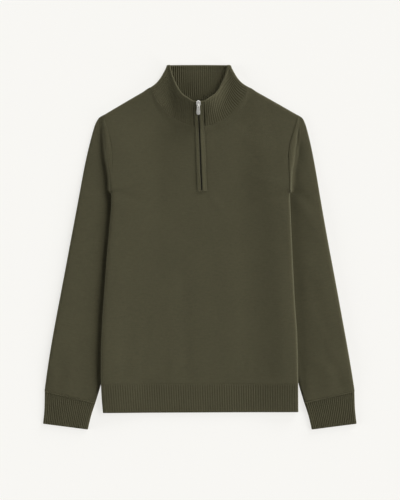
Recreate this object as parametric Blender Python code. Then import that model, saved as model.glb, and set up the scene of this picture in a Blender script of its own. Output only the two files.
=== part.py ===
"""A quarter zip sweater laid flat on its back, sleeves down beside the body.

+X is the right of the garment as seen from above, +Y points to the collar and +Z is up.
The back rests on z = 0. Tables and sizes are in millimetres, and meshes are made in metres.
"""

from collections import namedtuple
from math import cos, pi, radians, sin

import bmesh
import bpy
import numpy as np
from mathutils import Matrix, Vector

MM = 0.001

# Driving sizes
CLOTH = 2.0
SLEEVE_CLOTH = 1.8
GATHERED_CLOTH = 0.7
COLLAR_CLOTH = 3.0
SEAM = 0.3
FRONT_TOP = 4.9
SLEEVE_TOP = 5.0
SLEEVE_CROWN = 1.3
UNDERSIDE_OVER_SLEEVE = 5.4
TURNED_UNDER = 28.0
RIB_PITCH = 5.1
RIB_HEIGHT = 0.9
HEM_TOP = -293.4
HEM_BOTTOM = -354.5
HEM_MIDDLE = (HEM_TOP + HEM_BOTTOM) / 2
UNDERARM = 121.0
SHOULDER_TIP = 282.0
NECK_POINT = (107.0, 339.5)
BACK_NECK = 316.0
CUFF_RIBS = 24
CUFF_TOP = 5.2
CUFF_WAIST = 1.2
CUFF_JOINT_OUTER_Y = -308.1
CUFF_JOINT_INNER_Y = -333.5
CUFF_END_OUTER = (335.3, -378.6)
CUFF_END_INNER = (239.4, -391.0)
SLEEVE_LEAN = radians(13.0)

# Zip and placket
ZIP_END = 118.3
ZIP_TOP = 308.5
ZIP_X_END = 4.0
ZIP_X_TOP = -3.4
ZIP_GAP = 1.5
BAND_LEFT = 8.0
BAND_RIGHT = 9.6
BAND_PROUD = 1.3
BAND_CLOTH = 3.0

Edge = namedtuple("Edge", "y left right")
Width = namedtuple("Width", "y half")
Level = namedtuple("Level", "y rise")
Station = namedtuple("Station", "half y z")
Section = namedtuple("Section", "y points")
Spot = namedtuple("Spot", "along half inner")

BODY_EDGE = (
    Edge(HEM_BOTTOM, -207.4, 210.9),
    Edge(-325.0, -210.0, 210.6),
    Edge(-293.8, -211.4, 210.1),
    Edge(-231.8, -211.2, 209.1),
    Edge(-186.8, -209.7, 207.6),
    Edge(-116.2, -205.7, 202.7),
    Edge(-52.0, -200.7, 199.4),
    Edge(25.0, -195.0, 195.8),
    Edge(82.8, -189.0, 193.6),
    Edge(121.3, -188.6, 191.6),
)
ARMHOLE = (
    Edge(121.3, -188.6, 191.6),
    Edge(153.4, -187.4, 190.4),
    Edge(192.0, -186.8, 188.8),
    Edge(211.0, -187.9, 190.0),
    Edge(230.5, -191.1, 195.0),
    Edge(249.7, -196.5, 200.5),
    Edge(268.0, -202.6, 206.4),
    Edge(282.0, -205.6, 209.0),
)
CRESCENT = (
    Width(121.0, 2.4),
    Width(134.0, 3.2),
    Width(153.0, 5.0),
    Width(172.0, 8.6),
    Width(185.0, 11.6),
    Width(198.0, 13.6),
    Width(211.0, 14.2),
    Width(230.0, 12.8),
    Width(250.0, 9.0),
    Width(265.0, 5.0),
    Width(282.0, 1.0),
)
SLEEVE_EDGE = (
    Edge(-307.7, -332.1, 331.1),
    Edge(-247.8, -323.9, 321.6),
    Edge(-162.2, -309.2, 306.3),
    Edge(-76.6, -293.0, 290.7),
    Edge(9.0, -277.0, 274.6),
    Edge(94.6, -260.9, 259.5),
    Edge(180.2, -244.8, 244.9),
    Edge(223.0, -234.8, 236.2),
    Edge(248.7, -227.9, 229.8),
    Edge(261.5, -223.8, 226.0),
    Edge(270.1, -219.5, 222.6),
    Edge(276.5, -215.0, 217.9),
    Edge(282.0, -208.4, 211.6),
)
SLEEVE_INNER = (
    Width(-334.0, 223.0),
    Width(-312.0, 217.5),
    Width(-296.0, 211.8),
    Width(-240.0, 199.0),
    Width(-180.0, 186.0),
    Width(-120.0, 173.0),
    Width(-60.0, 159.5),
    Width(0.0, 147.0),
    Width(40.0, 142.5),
    Width(70.0, 147.0),
    Width(90.0, 158.0),
    Width(104.0, 171.0),
    Width(113.0, 181.0),
    Width(125.0, 184.0),
    Width(200.0, 184.5),
    Width(282.0, 201.0),
)
SIDE_RISE = (
    Level(HEM_BOTTOM, 4.6),
    Level(-320.0, 6.0),
    Level(-285.0, 8.8),
    Level(-240.0, 9.6),
    Level(120.0, 9.6),
    Level(160.0, 9.0),
    Level(210.0, 6.5),
    Level(250.0, 4.0),
    Level(282.0, 2.2),
    Level(345.0, 1.6),
)
UNDERSIDE = (
    Level(HEM_BOTTOM, 0.0),
    Level(-338.0, 0.0),
    Level(-300.0, 5.3),
    Level(-285.0, UNDERSIDE_OVER_SLEEVE),
    Level(120.0, UNDERSIDE_OVER_SLEEVE),
    Level(134.0, 2.5),
    Level(345.0, 2.4),
)
NECK_SEAM = (
    Station(10.0, 257.3, 6.6),
    Station(21.0, 259.3, 6.7),
    Station(48.0, 271.0, 6.9),
    Station(68.0, 287.0, 8.2),
    Station(88.0, 311.0, 9.8),
    Station(99.5, 331.0, 10.5),
    Station(101.4, NECK_POINT[1], 10.6),
)
COLLAR_TOP = (
    Station(10.0, 308.5, 32.0),
    Station(21.0, 315.0, 30.2),
    Station(37.0, 327.0, 22.5),
    Station(49.0, 348.0, 15.6),
    Station(57.5, 370.0, 11.6),
    Station(60.4, 383.0, 10.8),
    Station(61.6, 388.2, 10.6),
)
FOLD_RADIUS = 5.3
SHOULDER_WRAP = 4.2
SHOULDER_BOW = 0.4
FOLD_WIDTH = 5.6
UNDERARM_ROWS = (
    Section(119.3, ((2.5, 13.4), (2.8, 12.4), (3.1, 11.0), (3.7, 8.6), (5.0, 6.3), (8.0, 5.1))),
    Section(117.0, ((2.7, 9.0), (2.9, 8.4), (3.2, 7.7), (3.9, 6.6), (5.2, 5.6), (8.0, 5.05))),
    Section(114.5, ((-1.0, 4.5), (0.0, 4.9), (1.2, 5.0), (2.5, 5.0), (4.5, 5.0), (8.0, 5.0))),
)
INNER_EDGE = ((0.0, 2.7), (1.2, 4.1), (3.6, 5.0), (6.0, 5.0), (8.0, 5.0), (10.0, 5.0))
SLOT_START = ZIP_END - SEAM
UNDERARM_TOP = 121.4
HALF_CURLED = 119.7
LOWER_ROWS = tuple(np.linspace(HEM_TOP + SEAM, 98.0, 8)) + (SLOT_START, HALF_CURLED, UNDERARM_TOP)
ARMHOLE_ROWS = (134.0, 150.0, 170.0, 192.0, 214.0, 235.0, 252.0, 266.0, SHOULDER_TIP - SEAM / 2 - SHOULDER_WRAP)
ROWS_ABOVE = len(ARMHOLE_ROWS)
SLEEVE_ROWS = (281.6,) + ARMHOLE_ROWS[::-1] + (UNDERARM_TOP,) + tuple(row.y for row in UNDERARM_ROWS)
SLEEVE_ROWS += (110.0, 103.0, 90.0, 70.0, 40.0, 0.0, -50.0, -105.0, -160.0, -215.0, -265.0, -307.6)
WRAP_ANGLES = (30.0, 60.0, 90.0)
ACROSS_SIDE = (0.49, 0.57, 0.66, 0.76, 0.85, 0.93, 1.0)
ACROSS_FRONT = (0.0, 0.06, 0.12, 0.18, 0.24, 0.30, 0.36, 0.41, 0.45, 0.467) + ACROSS_SIDE
ACROSS_BACK = (0.0, 0.14, 0.28, 0.40) + ACROSS_SIDE
ARC_STEPS = 4
TAIL_STEPS = 2
BACK_CLEAR = 0.5
COLLAR_FRONT_RIBS = 24
COLLAR_BACK_RIBS = 27
COLLAR_ROWS = (0.0, 0.3, 0.65, 1.0)
COLLAR_BACK_HALF = 60.0
COLLAR_TOP_BACK = 388.5
COLLAR_LEAN = -2.2
COLLAR_BULGE = -3.5
NECK_LIFT = 3.6
NECK_LIFT_REACH = 85.0
COLLAR_WAIST = 0.065
COLLAR_LOW_WAIST = 0.28
COLLAR_SWAY = 1.6
STRIP_ROWS = (150.0, 185.0, 220.0, 244.0, 251.0, 257.0, 264.0, 272.0, 281.0, 290.0, 299.0)

# Slider and pull: distances down the zip from the slider's middle, and above the placket
SLIDER_Y = 303.5
SLIDER_SLOPE = radians(34.0)
SLIDER_TOP = 2.2
SLIDER_EDGE_DROP = 0.6
ARCH_START = -2.0
ARCH_END = 5.4
ARCH_TOP = 5.6
ARCH_FOOT = 1.2
ARCH_WIRE = 1.0
ARCH_HALF_WIDTH = 1.0
PULL_BAR = 2.6
PULL_HEIGHT = 3.6
PULL_THICKNESS = 1.2
PULL_WINDOW = 1.35
PULL_DROOP = radians(3.0)
SLIDER = (
    Spot(-9.0, 0.9, 0.5),
    Spot(-7.6, 2.6, 1.6),
    Spot(-5.0, 4.1, 2.5),
    Spot(-2.0, 4.5, 2.8),
    Spot(1.0, 4.2, 2.6),
    Spot(3.6, 3.3, 2.0),
    Spot(6.0, 2.9, 1.7),
)
PULL = (
    Spot(2.0, 2.6, PULL_WINDOW),
    Spot(3.2, 2.7, PULL_WINDOW),
    Spot(6.8, 3.0, PULL_WINDOW),
    Spot(12.6, 3.4, PULL_WINDOW),
    Spot(18.6, 3.9, PULL_WINDOW),
    Spot(22.6, 3.8, PULL_WINDOW),
    Spot(24.4, 3.0, PULL_WINDOW),
    Spot(25.2, 1.8, 1.0),
)


def smooth(value):
    """0 to 1 with a soft start and a soft end."""
    value = np.clip(value, 0.0, 1.0)
    return value * value * (3.0 - 2.0 * value)


def spline(at, value):
    """A smooth curve through the points that never overshoots them."""
    at, value = np.array(at, float), np.array(value, float)
    order = np.argsort(at)
    at, value = at[order], value[order]
    step = np.diff(at)
    slope = np.diff(value) / step
    tangent = np.concatenate([slope[:1], np.zeros(len(slope) - 1), slope[-1:]])
    for k in range(1, len(slope)):
        if slope[k] * slope[k - 1] > 0:
            tangent[k] = 2.0 / (1.0 / slope[k] + 1.0 / slope[k - 1])

    def curve(x):
        x = min(max(float(x), at[0]), at[-1])
        i = min(int(np.searchsorted(at, x, "right")) - 1, len(step) - 1)
        t = (x - at[i]) / step[i]
        a, b = tangent[i] * step[i], tangent[i + 1] * step[i]
        return (
            value[i] * (1 + 2 * t) * (1 - t) ** 2
            + a * t * (1 - t) ** 2
            + value[i + 1] * t * t * (3 - 2 * t)
            - b * t * t * (1 - t)
        )

    return curve


def column(table, name):
    """A smooth curve of one column of a table against its height y."""
    return spline([row.y for row in table], [getattr(row, name) for row in table])


body_edge = {-1: column(BODY_EDGE, "left"), 1: column(BODY_EDGE, "right")}
armhole = {-1: column(ARMHOLE, "left"), 1: column(ARMHOLE, "right")}
sleeve_edge = {-1: column(SLEEVE_EDGE, "left"), 1: column(SLEEVE_EDGE, "right")}
crescent = column(CRESCENT, "half")
sleeve_inner = column(SLEEVE_INNER, "half")
side_rise = column(SIDE_RISE, "rise")
underside_level = column(UNDERSIDE, "rise")
neck_line = spline([s.half for s in NECK_SEAM], [s.y for s in NECK_SEAM])


def side_x(y, side):
    """The body's edge below the underarm, and the armhole seam above it."""
    return body_edge[side](y) if y < UNDERARM else armhole[side](y)


def zip_x(y):
    """The zip runs a little aslant."""
    share = (y - ZIP_END) / (ZIP_TOP - ZIP_END)
    return ZIP_X_END + (ZIP_X_TOP - ZIP_X_END) * min(max(share, 0.0), 1.0)


def slot_x(y, side):
    """The edge of the slot in front and collar that the placket fills."""
    band = BAND_LEFT if side < 0 else BAND_RIGHT
    return zip_x(y) + side * (ZIP_GAP + band + SEAM)


def front_height(x, y):
    """Height of the outside of the front."""
    side = 1 if x > 0 else -1
    reach = abs(side_x(y, side))
    ramp = smooth((abs(x) - (reach - 110.0)) / 95.0)
    near_neck = np.hypot(abs(x) - 100.0, y - 330.0) / NECK_LIFT_REACH
    return FRONT_TOP + side_rise(y) * ramp + NECK_LIFT * (1.0 - smooth(near_neck))


def underside_height(x, y):
    """Height of the lowest cloth of the body: on the floor, and over the sleeves at its sides."""
    ramp = smooth((abs(x) - (sleeve_inner(y) - 46.0)) / 41.0)
    return underside_level(y) * ramp


def grid_normals(points, ring):
    """Outward unit normals of a grid of points, rows by columns; ring closes each row."""
    if ring:
        across = np.roll(points, -1, axis=1) - np.roll(points, 1, axis=1)
    else:
        across = np.gradient(points, axis=1)
    along = np.gradient(points, axis=0)
    normals = np.cross(across, along)
    return normals / np.maximum(np.linalg.norm(normals, axis=2, keepdims=True), 1e-9)


def wall(name, outer, inner, ring=False, holes=()):
    """A closed wall between two grids of points; holes are cells (row, column) left out."""
    rows, columns = outer.shape[:2]
    count = rows * columns
    points = np.concatenate([outer.reshape(-1, 3), inner.reshape(-1, 3)]) * MM
    faces = []
    edges = {}
    for r in range(rows - 1):
        for c in range(columns if ring else columns - 1):
            if (r, c) in holes:
                continue
            d = (c + 1) % columns
            corner = [r * columns + c, r * columns + d, (r + 1) * columns + d, (r + 1) * columns + c]
            faces.append(corner)
            faces.append([count + i for i in reversed(corner)])
            for a, b in zip(corner, corner[1:] + corner[:1]):
                edges[(a, b)] = (b, a)
    for a, b in edges:
        if (b, a) not in edges:
            faces.append([b, a, count + a, count + b])
    used = sorted({i for face in faces for i in face})
    place = {i: k for k, i in enumerate(used)}
    mesh = bpy.data.meshes.new(name)
    mesh.from_pydata([points[i] for i in used], [], [[place[i] for i in face] for face in faces])
    mesh.validate()
    return finish_mesh(name, mesh)


def finish_mesh(name, mesh):
    """Triangulates the mesh, turns its faces outward, shades it smooth and links its object."""
    work = bmesh.new()
    work.from_mesh(mesh)
    bmesh.ops.triangulate(work, faces=work.faces)
    bmesh.ops.recalc_face_normals(work, faces=work.faces)
    work.to_mesh(mesh)
    work.free()
    mesh.shade_smooth()
    mesh.set_sharp_from_angle(angle=radians(40))
    obj = bpy.data.objects.new(name, mesh)
    bpy.context.scene.collection.objects.link(obj)
    return obj


def material(name, colour, roughness, metallic=0.0):
    """A Principled BSDF material."""
    made = bpy.data.materials.new(name)
    made.use_nodes = True
    shader = made.node_tree.nodes["Principled BSDF"]
    shader.inputs["Base Color"].default_value = (*colour, 1.0)
    shader.inputs["Roughness"].default_value = roughness
    shader.inputs["Metallic"].default_value = metallic
    return made


def front_top_line(x, side):
    """Height y of the front's upper edge at x: the neck seam, then the shoulder."""
    reach = abs(x)
    if reach < NECK_SEAM[-1].half:
        return neck_line(reach)
    tip = abs(armhole[side](SHOULDER_TIP))
    share = max(reach - NECK_POINT[0], 0.0) / (tip - NECK_POINT[0])
    return NECK_POINT[1] - 0.2 + (SHOULDER_TIP - NECK_POINT[1]) * share + SHOULDER_BOW * sin(pi * min(share, 1.0))


def back_top_line(x, side):
    """Height y of the back's upper edge at x: the neck seam, then the shoulder."""
    if abs(x) < NECK_POINT[0]:
        fold_x, fold_y = NECK_SEAM[-1].half, NECK_SEAM[-1].y
        return back_curve(min(abs(x), fold_x), fold_x, fold_y, BACK_NECK) - 2 * SEAM
    return front_top_line(x, side)


def fold_profile(y, side):
    """Where the fold of the body's side starts, and points (x, z) round it and along what is turned under."""
    curl = min(max((UNDERARM_TOP - y) / (UNDERARM_TOP - SLOT_START), 0.0), 1.0)
    edge = side_x(y, side)
    top = front_height(edge, y)
    bottom = underside_height(edge - side * 6.0, y)
    radius = max((top - bottom) / 2.0, 3.0)
    start = edge - side * radius * sin(min(pi * curl, pi / 2))
    points = []
    for step in range(1, ARC_STEPS + 1):
        angle = pi * curl * step / ARC_STEPS
        points.append((start + side * radius * sin(angle), top - radius * (1 - cos(angle))))
    length = SEAM + TURNED_UNDER * smooth((UNDERARM - 3.0 - y) / 22.0)
    end_x, end_z = points[-1]
    for step in range(1, TAIL_STEPS + 1):
        reach = length * step / TAIL_STEPS
        x = end_x + side * reach * cos(pi * curl)
        points.append((x, underside_height(x, y) if curl == 1.0 else end_z - reach * sin(pi * curl)))
    return start, points


def panel_line(across, y_of, side_end, top_line):
    """One row of a panel as plan points (x, y), from its left end to its right end."""
    line = []
    for side in (-1, 1):
        for f in across[::-1] if side < 0 else across:
            top_y = 300.0
            for _ in range(12):
                start = slot_x(top_y, side)
                x = start + f * (side_x(min(top_y, SHOULDER_TIP), side) - start)
                top_y = top_line(x, side)
            y = y_of(x, top_y)
            start = slot_x(max(y, ZIP_END), side)
            line.append((start + f * (side_end(min(y, SHOULDER_TIP), side) - start), y))
    return line


def share_above(k):
    """How far row k above the underarm is up to the top of its column."""
    return (ARMHOLE_ROWS[k] - UNDERARM_TOP) / (ARMHOLE_ROWS[-1] - UNDERARM_TOP)


def front_end(y, side):
    """Where the flat part of the front ends: at the fold of its side, or at the armhole seam."""
    if y < UNDERARM_TOP:
        return fold_profile(y, side)[0]
    return armhole[side](y) - side * SEAM


def front_panel():
    """The front, with the slot for the zip and the sides that are turned under."""
    rows = len(LOWER_ROWS) + ROWS_ABOVE + len(WRAP_ANGLES)
    outer = []
    for r in range(rows):
        drops = []

        def y_of(x, top_y, r=r):
            shoulder = smooth((abs(x) - 110.0) / 14.0)
            steep = smooth((abs(x) - 30.0) / 26.0) * (1.0 - smooth((abs(x) - 100.5) / 2.0))
            neck_clear = 0.35 + 1.75 * steep
            flat_end = top_y - SEAM / 2 - SHOULDER_WRAP * shoulder - neck_clear * (1 - shoulder)
            drops.append(0.0)
            if r < len(LOWER_ROWS):
                return LOWER_ROWS[r]
            if r < len(LOWER_ROWS) + ROWS_ABOVE:
                share = share_above(r - len(LOWER_ROWS))
                return LOWER_ROWS[-1] + (flat_end - LOWER_ROWS[-1]) * share
            angle = radians(WRAP_ANGLES[r - len(LOWER_ROWS) - ROWS_ABOVE])
            drops[-1] = SHOULDER_WRAP * shoulder * (1 - cos(angle))
            return flat_end + SHOULDER_WRAP * shoulder * sin(angle) + 0.08 * angle * (1 - shoulder)

        plan = panel_line(ACROSS_FRONT, y_of, front_end, front_top_line)
        line = [(x, y, front_height(x, y) - drop) for (x, y), drop in zip(plan, drops)]
        ends = {}
        for side, (x, y, z) in ((-1, line[0]), (1, line[-1])):
            if y < UNDERARM_TOP:
                ends[side] = [(px, y, pz) for px, pz in fold_profile(y, side)[1]]
            else:
                ends[side] = [(x + side * 0.01 * (k + 1), y, z) for k in range(ARC_STEPS + TAIL_STEPS)]
        outer.append(ends[-1][::-1] + line + ends[1])
    outer = np.array(outer)
    thickness = np.full(outer.shape[:2] + (1,), CLOTH)
    for r in range(LOWER_ROWS.index(SLOT_START) - 1, len(LOWER_ROWS) + 1):
        thickness[r, : ARC_STEPS + TAIL_STEPS] = GATHERED_CLOTH
        thickness[r, -ARC_STEPS - TAIL_STEPS :] = GATHERED_CLOTH
    normals = grid_normals(outer, False)
    curling = slice(LOWER_ROWS.index(SLOT_START) - 1, len(LOWER_ROWS) + 1)
    across = np.gradient(outer[curling], axis=1)
    flat = np.stack([-across[:, :, 2], 0.0 * across[:, :, 1], across[:, :, 0]], axis=2)
    normals[curling] = flat / np.linalg.norm(flat, axis=2, keepdims=True)
    at_neck = np.abs(outer[-1, :, 0]) < NECK_POINT[0] + 3.0
    normals[-len(WRAP_ANGLES) - 1 :, at_neck] = normals[-len(WRAP_ANGLES) - 2, at_neck]
    inner = outer - thickness * normals
    middle_column = ARC_STEPS + TAIL_STEPS + len(ACROSS_FRONT) - 1
    holes = {(r, middle_column) for r in range(LOWER_ROWS.index(SLOT_START), rows - 1)}
    return wall("front_panel", outer, inner, holes=holes)


def back_end(y, side):
    """Where the full thickness of the back ends."""
    if abs(y - UNDERARM) < 10.0:
        return armhole[side](UNDERARM) - side * 6.0
    if y < UNDERARM - 1.0:
        return fold_profile(y, side)[0]
    return armhole[side](y) - side * 1.2


def back_walls(y_rows, rows_above):
    """Upper and lower points of the back, which lies between the front and what is under it."""
    upper, lower = [], []
    for r in range(len(y_rows) + rows_above):

        def y_of(x, top_y, r=r):
            if r < len(y_rows):
                return y_rows[r]
            end = top_y - SEAM / 2 - (SHOULDER_WRAP + 0.4) * smooth((abs(x) - 104.0) / 12.0)
            return y_rows[-1] + (end - y_rows[-1]) * share_above(r - len(y_rows))

        high, low = [], []
        for x, y in panel_line(ACROSS_BACK, y_of, back_end, back_top_line):
            side = 1 if x > 0 else -1
            tail_end = abs(back_end(min(y, SHOULDER_TIP), side)) - TURNED_UNDER
            folded = smooth((abs(x) - tail_end + 12.0) / 10.0) if y < UNDERARM + 4.0 else 0.0
            high.append((x, y, front_height(x, y) - CLOTH - BACK_CLEAR))
            low.append((x, y, underside_height(x, y) + (CLOTH + BACK_CLEAR) * folded))
        for side in (-1, 1):
            at = 0 if side < 0 else -1
            (x, y, top), bottom = high[at], low[at][2]
            radius = (top - bottom) / 2.0
            x += side * (0.7 * radius if y < UNDERARM - 1.0 else 0.5)
            edge_high, edge_low = (x, y, bottom + 1.6 * radius), (x, y, bottom + 0.4 * radius)
            high = [edge_high] + high if side < 0 else high + [edge_high]
            low = [edge_low] + low if side < 0 else low + [edge_low]
        upper.append(high)
        lower.append(low)
    return np.array(upper), np.array(lower)


def back_panel():
    """The back, down to the rib hem and up to the collar and the shoulders."""
    return wall("back_panel", *back_walls(LOWER_ROWS, ROWS_ABOVE))


def hem_bottom(x):
    """The hem's lower edge, which falls a little to the left."""
    return HEM_BOTTOM + 1.0 * x / 210.0


def hem_back():
    """The back of the rib hem, plain because it lies face down."""
    return wall("hem_back", *back_walls([HEM_BOTTOM + 1.2, HEM_MIDDLE, HEM_TOP - SEAM], 0))


def rib_ridge(columns):
    """Ridges for that many columns, two columns to a rib."""
    return np.array([RIB_HEIGHT * (0.5 if c % 2 else -0.5) for c in range(columns)])[None, :, None]


def hem_front():
    """The front of the rib hem, with its sides turned under."""
    ribs = int(round(2 * 205.0 / RIB_PITCH))
    outer = []
    for share in (0.0, 0.5, 1.0):
        line = []
        y_middle = HEM_BOTTOM + (HEM_TOP - SEAM - HEM_BOTTOM) * share
        left, right = fold_profile(y_middle, -1), fold_profile(y_middle, 1)
        for k in range(2 * ribs + 1):
            x = left[0] + (right[0] - left[0]) * k / (2 * ribs)
            y = hem_bottom(x) + (HEM_TOP - SEAM - hem_bottom(x)) * share
            line.append((x, y, front_height(x, y)))
        ends = []
        for x, z in left[1] + right[1]:
            ends.append((x, hem_bottom(x) + (HEM_TOP - SEAM - hem_bottom(x)) * share, z))
        half = len(left[1])
        outer.append(ends[:half][::-1] + line + ends[half:])
    outer = np.array(outer)
    normals = grid_normals(outer, False)
    ridge = rib_ridge(outer.shape[1])
    ridge[:, :TAIL_STEPS] = 0.0
    ridge[:, -TAIL_STEPS:] = 0.0
    return wall("hem_front", outer + ridge * normals, outer - CLOTH * normals)


def spread(start, end, count):
    """Evenly spaced values after start, up to and with end."""
    return [start + (end - start) * (k + 1) / count for k in range(count)]


def sleeve_row(y, side):
    """Points of one row of a sleeve, from its front end over the outer edge to its back end."""
    edge_y = y - 5.5 * smooth((y - 225.0) / 50.0)
    edge = abs(sleeve_edge[side](edge_y))
    radius = SLEEVE_TOP / 2
    if y > UNDERARM - 9.0:
        below = y < UNDERARM
        start = abs(side_x(y, side)) + (0.0 if below else SEAM / 2)
        width = edge - start
        top = front_height(side * (start + 1.0), y)
        drop = top - SLEEVE_TOP
        bulge = min(crescent(y), 0.3 * width)
        if y > UNDERARM:
            front = [(0.0, top), (0.5 * bulge, top + 0.3), (0.95 * bulge, top - 0.06 * drop)]
            front += [(bulge + 1.2, top - 0.5 * drop), (bulge + 2.7, top - 0.88 * drop)]
            front += [(bulge + 5.8, SLEEVE_TOP + 0.1)]
        else:
            front = next(row.points for row in UNDERARM_ROWS if row.y == y)
        if front[-1][0] > 0.6 * (width - radius):
            step = 0.12 * (width - radius)
            front = [(k * step, top - drop * smooth(k / 5)) for k in range(6)]
        back_end_at = sleeve_inner(y) - start
        back = [(s, 0.0) for s in spread(width - radius, back_end_at, 6)]
        tilt = (edge_y - y) / width
        visible_from = front[-1][0]
    else:
        lean = SLEEVE_LEAN * smooth((UNDERARM - y) / 330.0)
        inner_y = y
        for _ in range(12):
            inner_y = y - (edge - sleeve_inner(inner_y)) * sin(lean) / cos(lean)
        start = sleeve_inner(inner_y)
        width = edge - start
        front = list(INNER_EDGE)
        back = [(s, 0.0) for s in spread(width - radius, 4.2, 4)] + [(1.4, 0.7), (0.0, 2.3)]
        tilt = sin(lean) / cos(lean)
        y -= width * tilt
        visible_from = max(abs(body_edge[side](max(y, HEM_TOP))) + 3.0 - start, front[-1][0])
    points = list(front)
    for s in spread(front[-1][0], width - radius, 4):
        share = (s - visible_from) / max(width - radius - visible_from, 1.0)
        crown = SLEEVE_CROWN * sin(pi * min(max(share, 0.0), 1.0)) * smooth(width / 60.0)
        points.append((s, SLEEVE_TOP + crown))
    for angle in (45.0, 90.0, 135.0, 180.0):
        turn = radians(angle)
        points.append((width - radius + radius * sin(turn), radius + radius * cos(turn)))
    points += back
    return [(side * (start + s), y + s * tilt, z) for s, z in points]


def sleeve(side, name):
    """A sleeve: cloth from the front armhole seam round its outer edge to the back one."""
    outer = np.array([sleeve_row(y, side) for y in SLEEVE_ROWS])
    normals = grid_normals(outer, False)
    if normals[-1, 8, 2] < 0:
        normals = -normals
    for r, y in enumerate(SLEEVE_ROWS):
        if y < UNDERARM - 9.0:
            normals[r, [0, -1], 2] = 0.0
    normals /= np.linalg.norm(normals, axis=2, keepdims=True)
    thickness = np.full(outer.shape[:2] + (1,), SLEEVE_CLOTH)
    for r, y in enumerate(SLEEVE_ROWS):
        if abs(y - UNDERARM) < 14.0:
            thickness[r, :7] = GATHERED_CLOTH
        if y > 260.0:
            thickness[r] = GATHERED_CLOTH
    return wall(name, outer, outer - thickness * normals)


def cuff(side, name):
    """A rib cuff: a flat tube, ribbed where it faces up."""
    ribs = CUFF_RIBS
    radius = CUFF_TOP / 2
    joint_outer = (abs(sleeve_edge[side](CUFF_JOINT_OUTER_Y)) - 0.5, CUFF_JOINT_OUTER_Y)
    joint_inner = (sleeve_inner(CUFF_JOINT_INNER_Y) + 0.4, CUFF_JOINT_INNER_Y)
    outer = []
    for share in (0.0, 0.5, 1.0):
        waist = CUFF_WAIST * sin(pi * share)
        inner_at = [joint_inner[i] + (CUFF_END_INNER[i] - joint_inner[i]) * share for i in (0, 1)]
        outer_at = [joint_outer[i] + (CUFF_END_OUTER[i] - joint_outer[i]) * share for i in (0, 1)]
        inner_at[0] += waist
        outer_at[0] -= waist
        width = outer_at[0] - inner_at[0]
        path = [(s, 2 * radius) for s in [radius] + spread(radius, width - radius, 2 * ribs)]
        for angle in (45.0, 90.0, 135.0, 180.0):
            turn = radians(angle)
            path.append((width - radius + radius * sin(turn), radius + radius * cos(turn)))
        path += [(s, 0.0) for s in spread(width - radius, radius, 6)]
        for angle in (225.0, 270.0, 315.0):
            turn = radians(angle)
            path.append((radius + radius * sin(turn), radius + radius * cos(turn)))
        slope = (outer_at[1] - inner_at[1]) / width
        outer.append([(side * (inner_at[0] + s), inner_at[1] + slope * s, z) for s, z in path])
    outer = np.array(outer)
    normals = grid_normals(outer, True)
    if normals[1, 8, 2] < 0:
        normals = -normals
    ridge = rib_ridge(outer.shape[1])
    ridge[:, 2 * ribs + 1 :] = 0.0
    return wall(name, outer + ridge * normals, outer - CLOTH * normals, ring=True)


def along(table, share):
    """The point (half, y, z) at a share of the way along a table of stations."""
    spots = np.array([[s.half, s.y, s.z] for s in table])
    steps = np.linalg.norm(np.diff(spots, axis=0), axis=1)
    at = np.concatenate([[0.0], np.cumsum(steps)]) / steps.sum()
    return [spline(at, spots[:, k])(share) for k in range(3)]


def collar_row(rise):
    """One row round the neck, from the zip over the left fold, the back and the right fold."""
    waist = 1.0 - COLLAR_WAIST * 4 * rise * (1 - rise) - COLLAR_LOW_WAIST * rise * (1 - rise) ** 3
    shift = COLLAR_LEAN * rise - COLLAR_SWAY * sin(pi * rise) * (1 - rise)
    front = []
    for k in range(COLLAR_FRONT_RIBS * 2 + 1):
        share = k / (COLLAR_FRONT_RIBS * 2)
        low, high = along(NECK_SEAM, share), along(COLLAR_TOP, share)
        half, y, z = [a + (b - a) * rise for a, b in zip(low, high)]
        z += COLLAR_BULGE * sin(pi * rise) * (1 - share) ** 0.5
        front.append([half, y, z, share])
    fold_x, fold_y = front[-1][0] * waist, front[-1][1]
    back_y = BACK_NECK + (COLLAR_TOP_BACK - BACK_NECK) * rise
    half_points = []
    for half, y, z, share in front:
        half_points.append((half * (1 + (waist - 1) * share), y + SEAM / 2, z, share))
    arc = []
    for angle in (36.0, 72.0, 108.0, 144.0, 180.0):
        turn = radians(angle)
        arc.append((fold_x + FOLD_WIDTH * sin(turn), fold_y + SEAM / 2, FOLD_RADIUS * (1 + cos(turn))))
    straight = min(COLLAR_BACK_HALF, fold_x - 1.0)
    sides = {}
    for side in (-1, 1):
        row = []
        for half, y, z, share in half_points:
            toward_slot = abs(slot_x(y, side) + side * SEAM)
            start = half_points[0][0]
            stretch = (half - start) / (half_points[-1][0] - start)
            x = side * toward_slot * (1 - stretch) + (side * half_points[-1][0] + shift) * stretch
            row.append((x, y, z))
        row += [(side * x + shift, y, z) for x, y, z in arc]
        for k in (1, 2, 3):
            x = fold_x + (straight - fold_x) * k / 3
            row.append((side * x + shift, back_curve(x, fold_x, fold_y, back_y), 0.0))
        sides[side] = row
    back = []
    for k in range(1, COLLAR_BACK_RIBS * 2):
        x = -straight + 2 * straight * k / (COLLAR_BACK_RIBS * 2)
        back.append((x + shift, back_curve(abs(x), fold_x, fold_y, back_y), 0.0))
    return sides[-1] + back + sides[1][::-1]


def back_curve(x, fold_x, fold_y, back_y):
    """Height y of a back collar row, level in the middle and rising to the fold."""
    return back_y + SEAM / 2 + (fold_y - back_y) * (x / fold_x) ** 2.2


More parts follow.
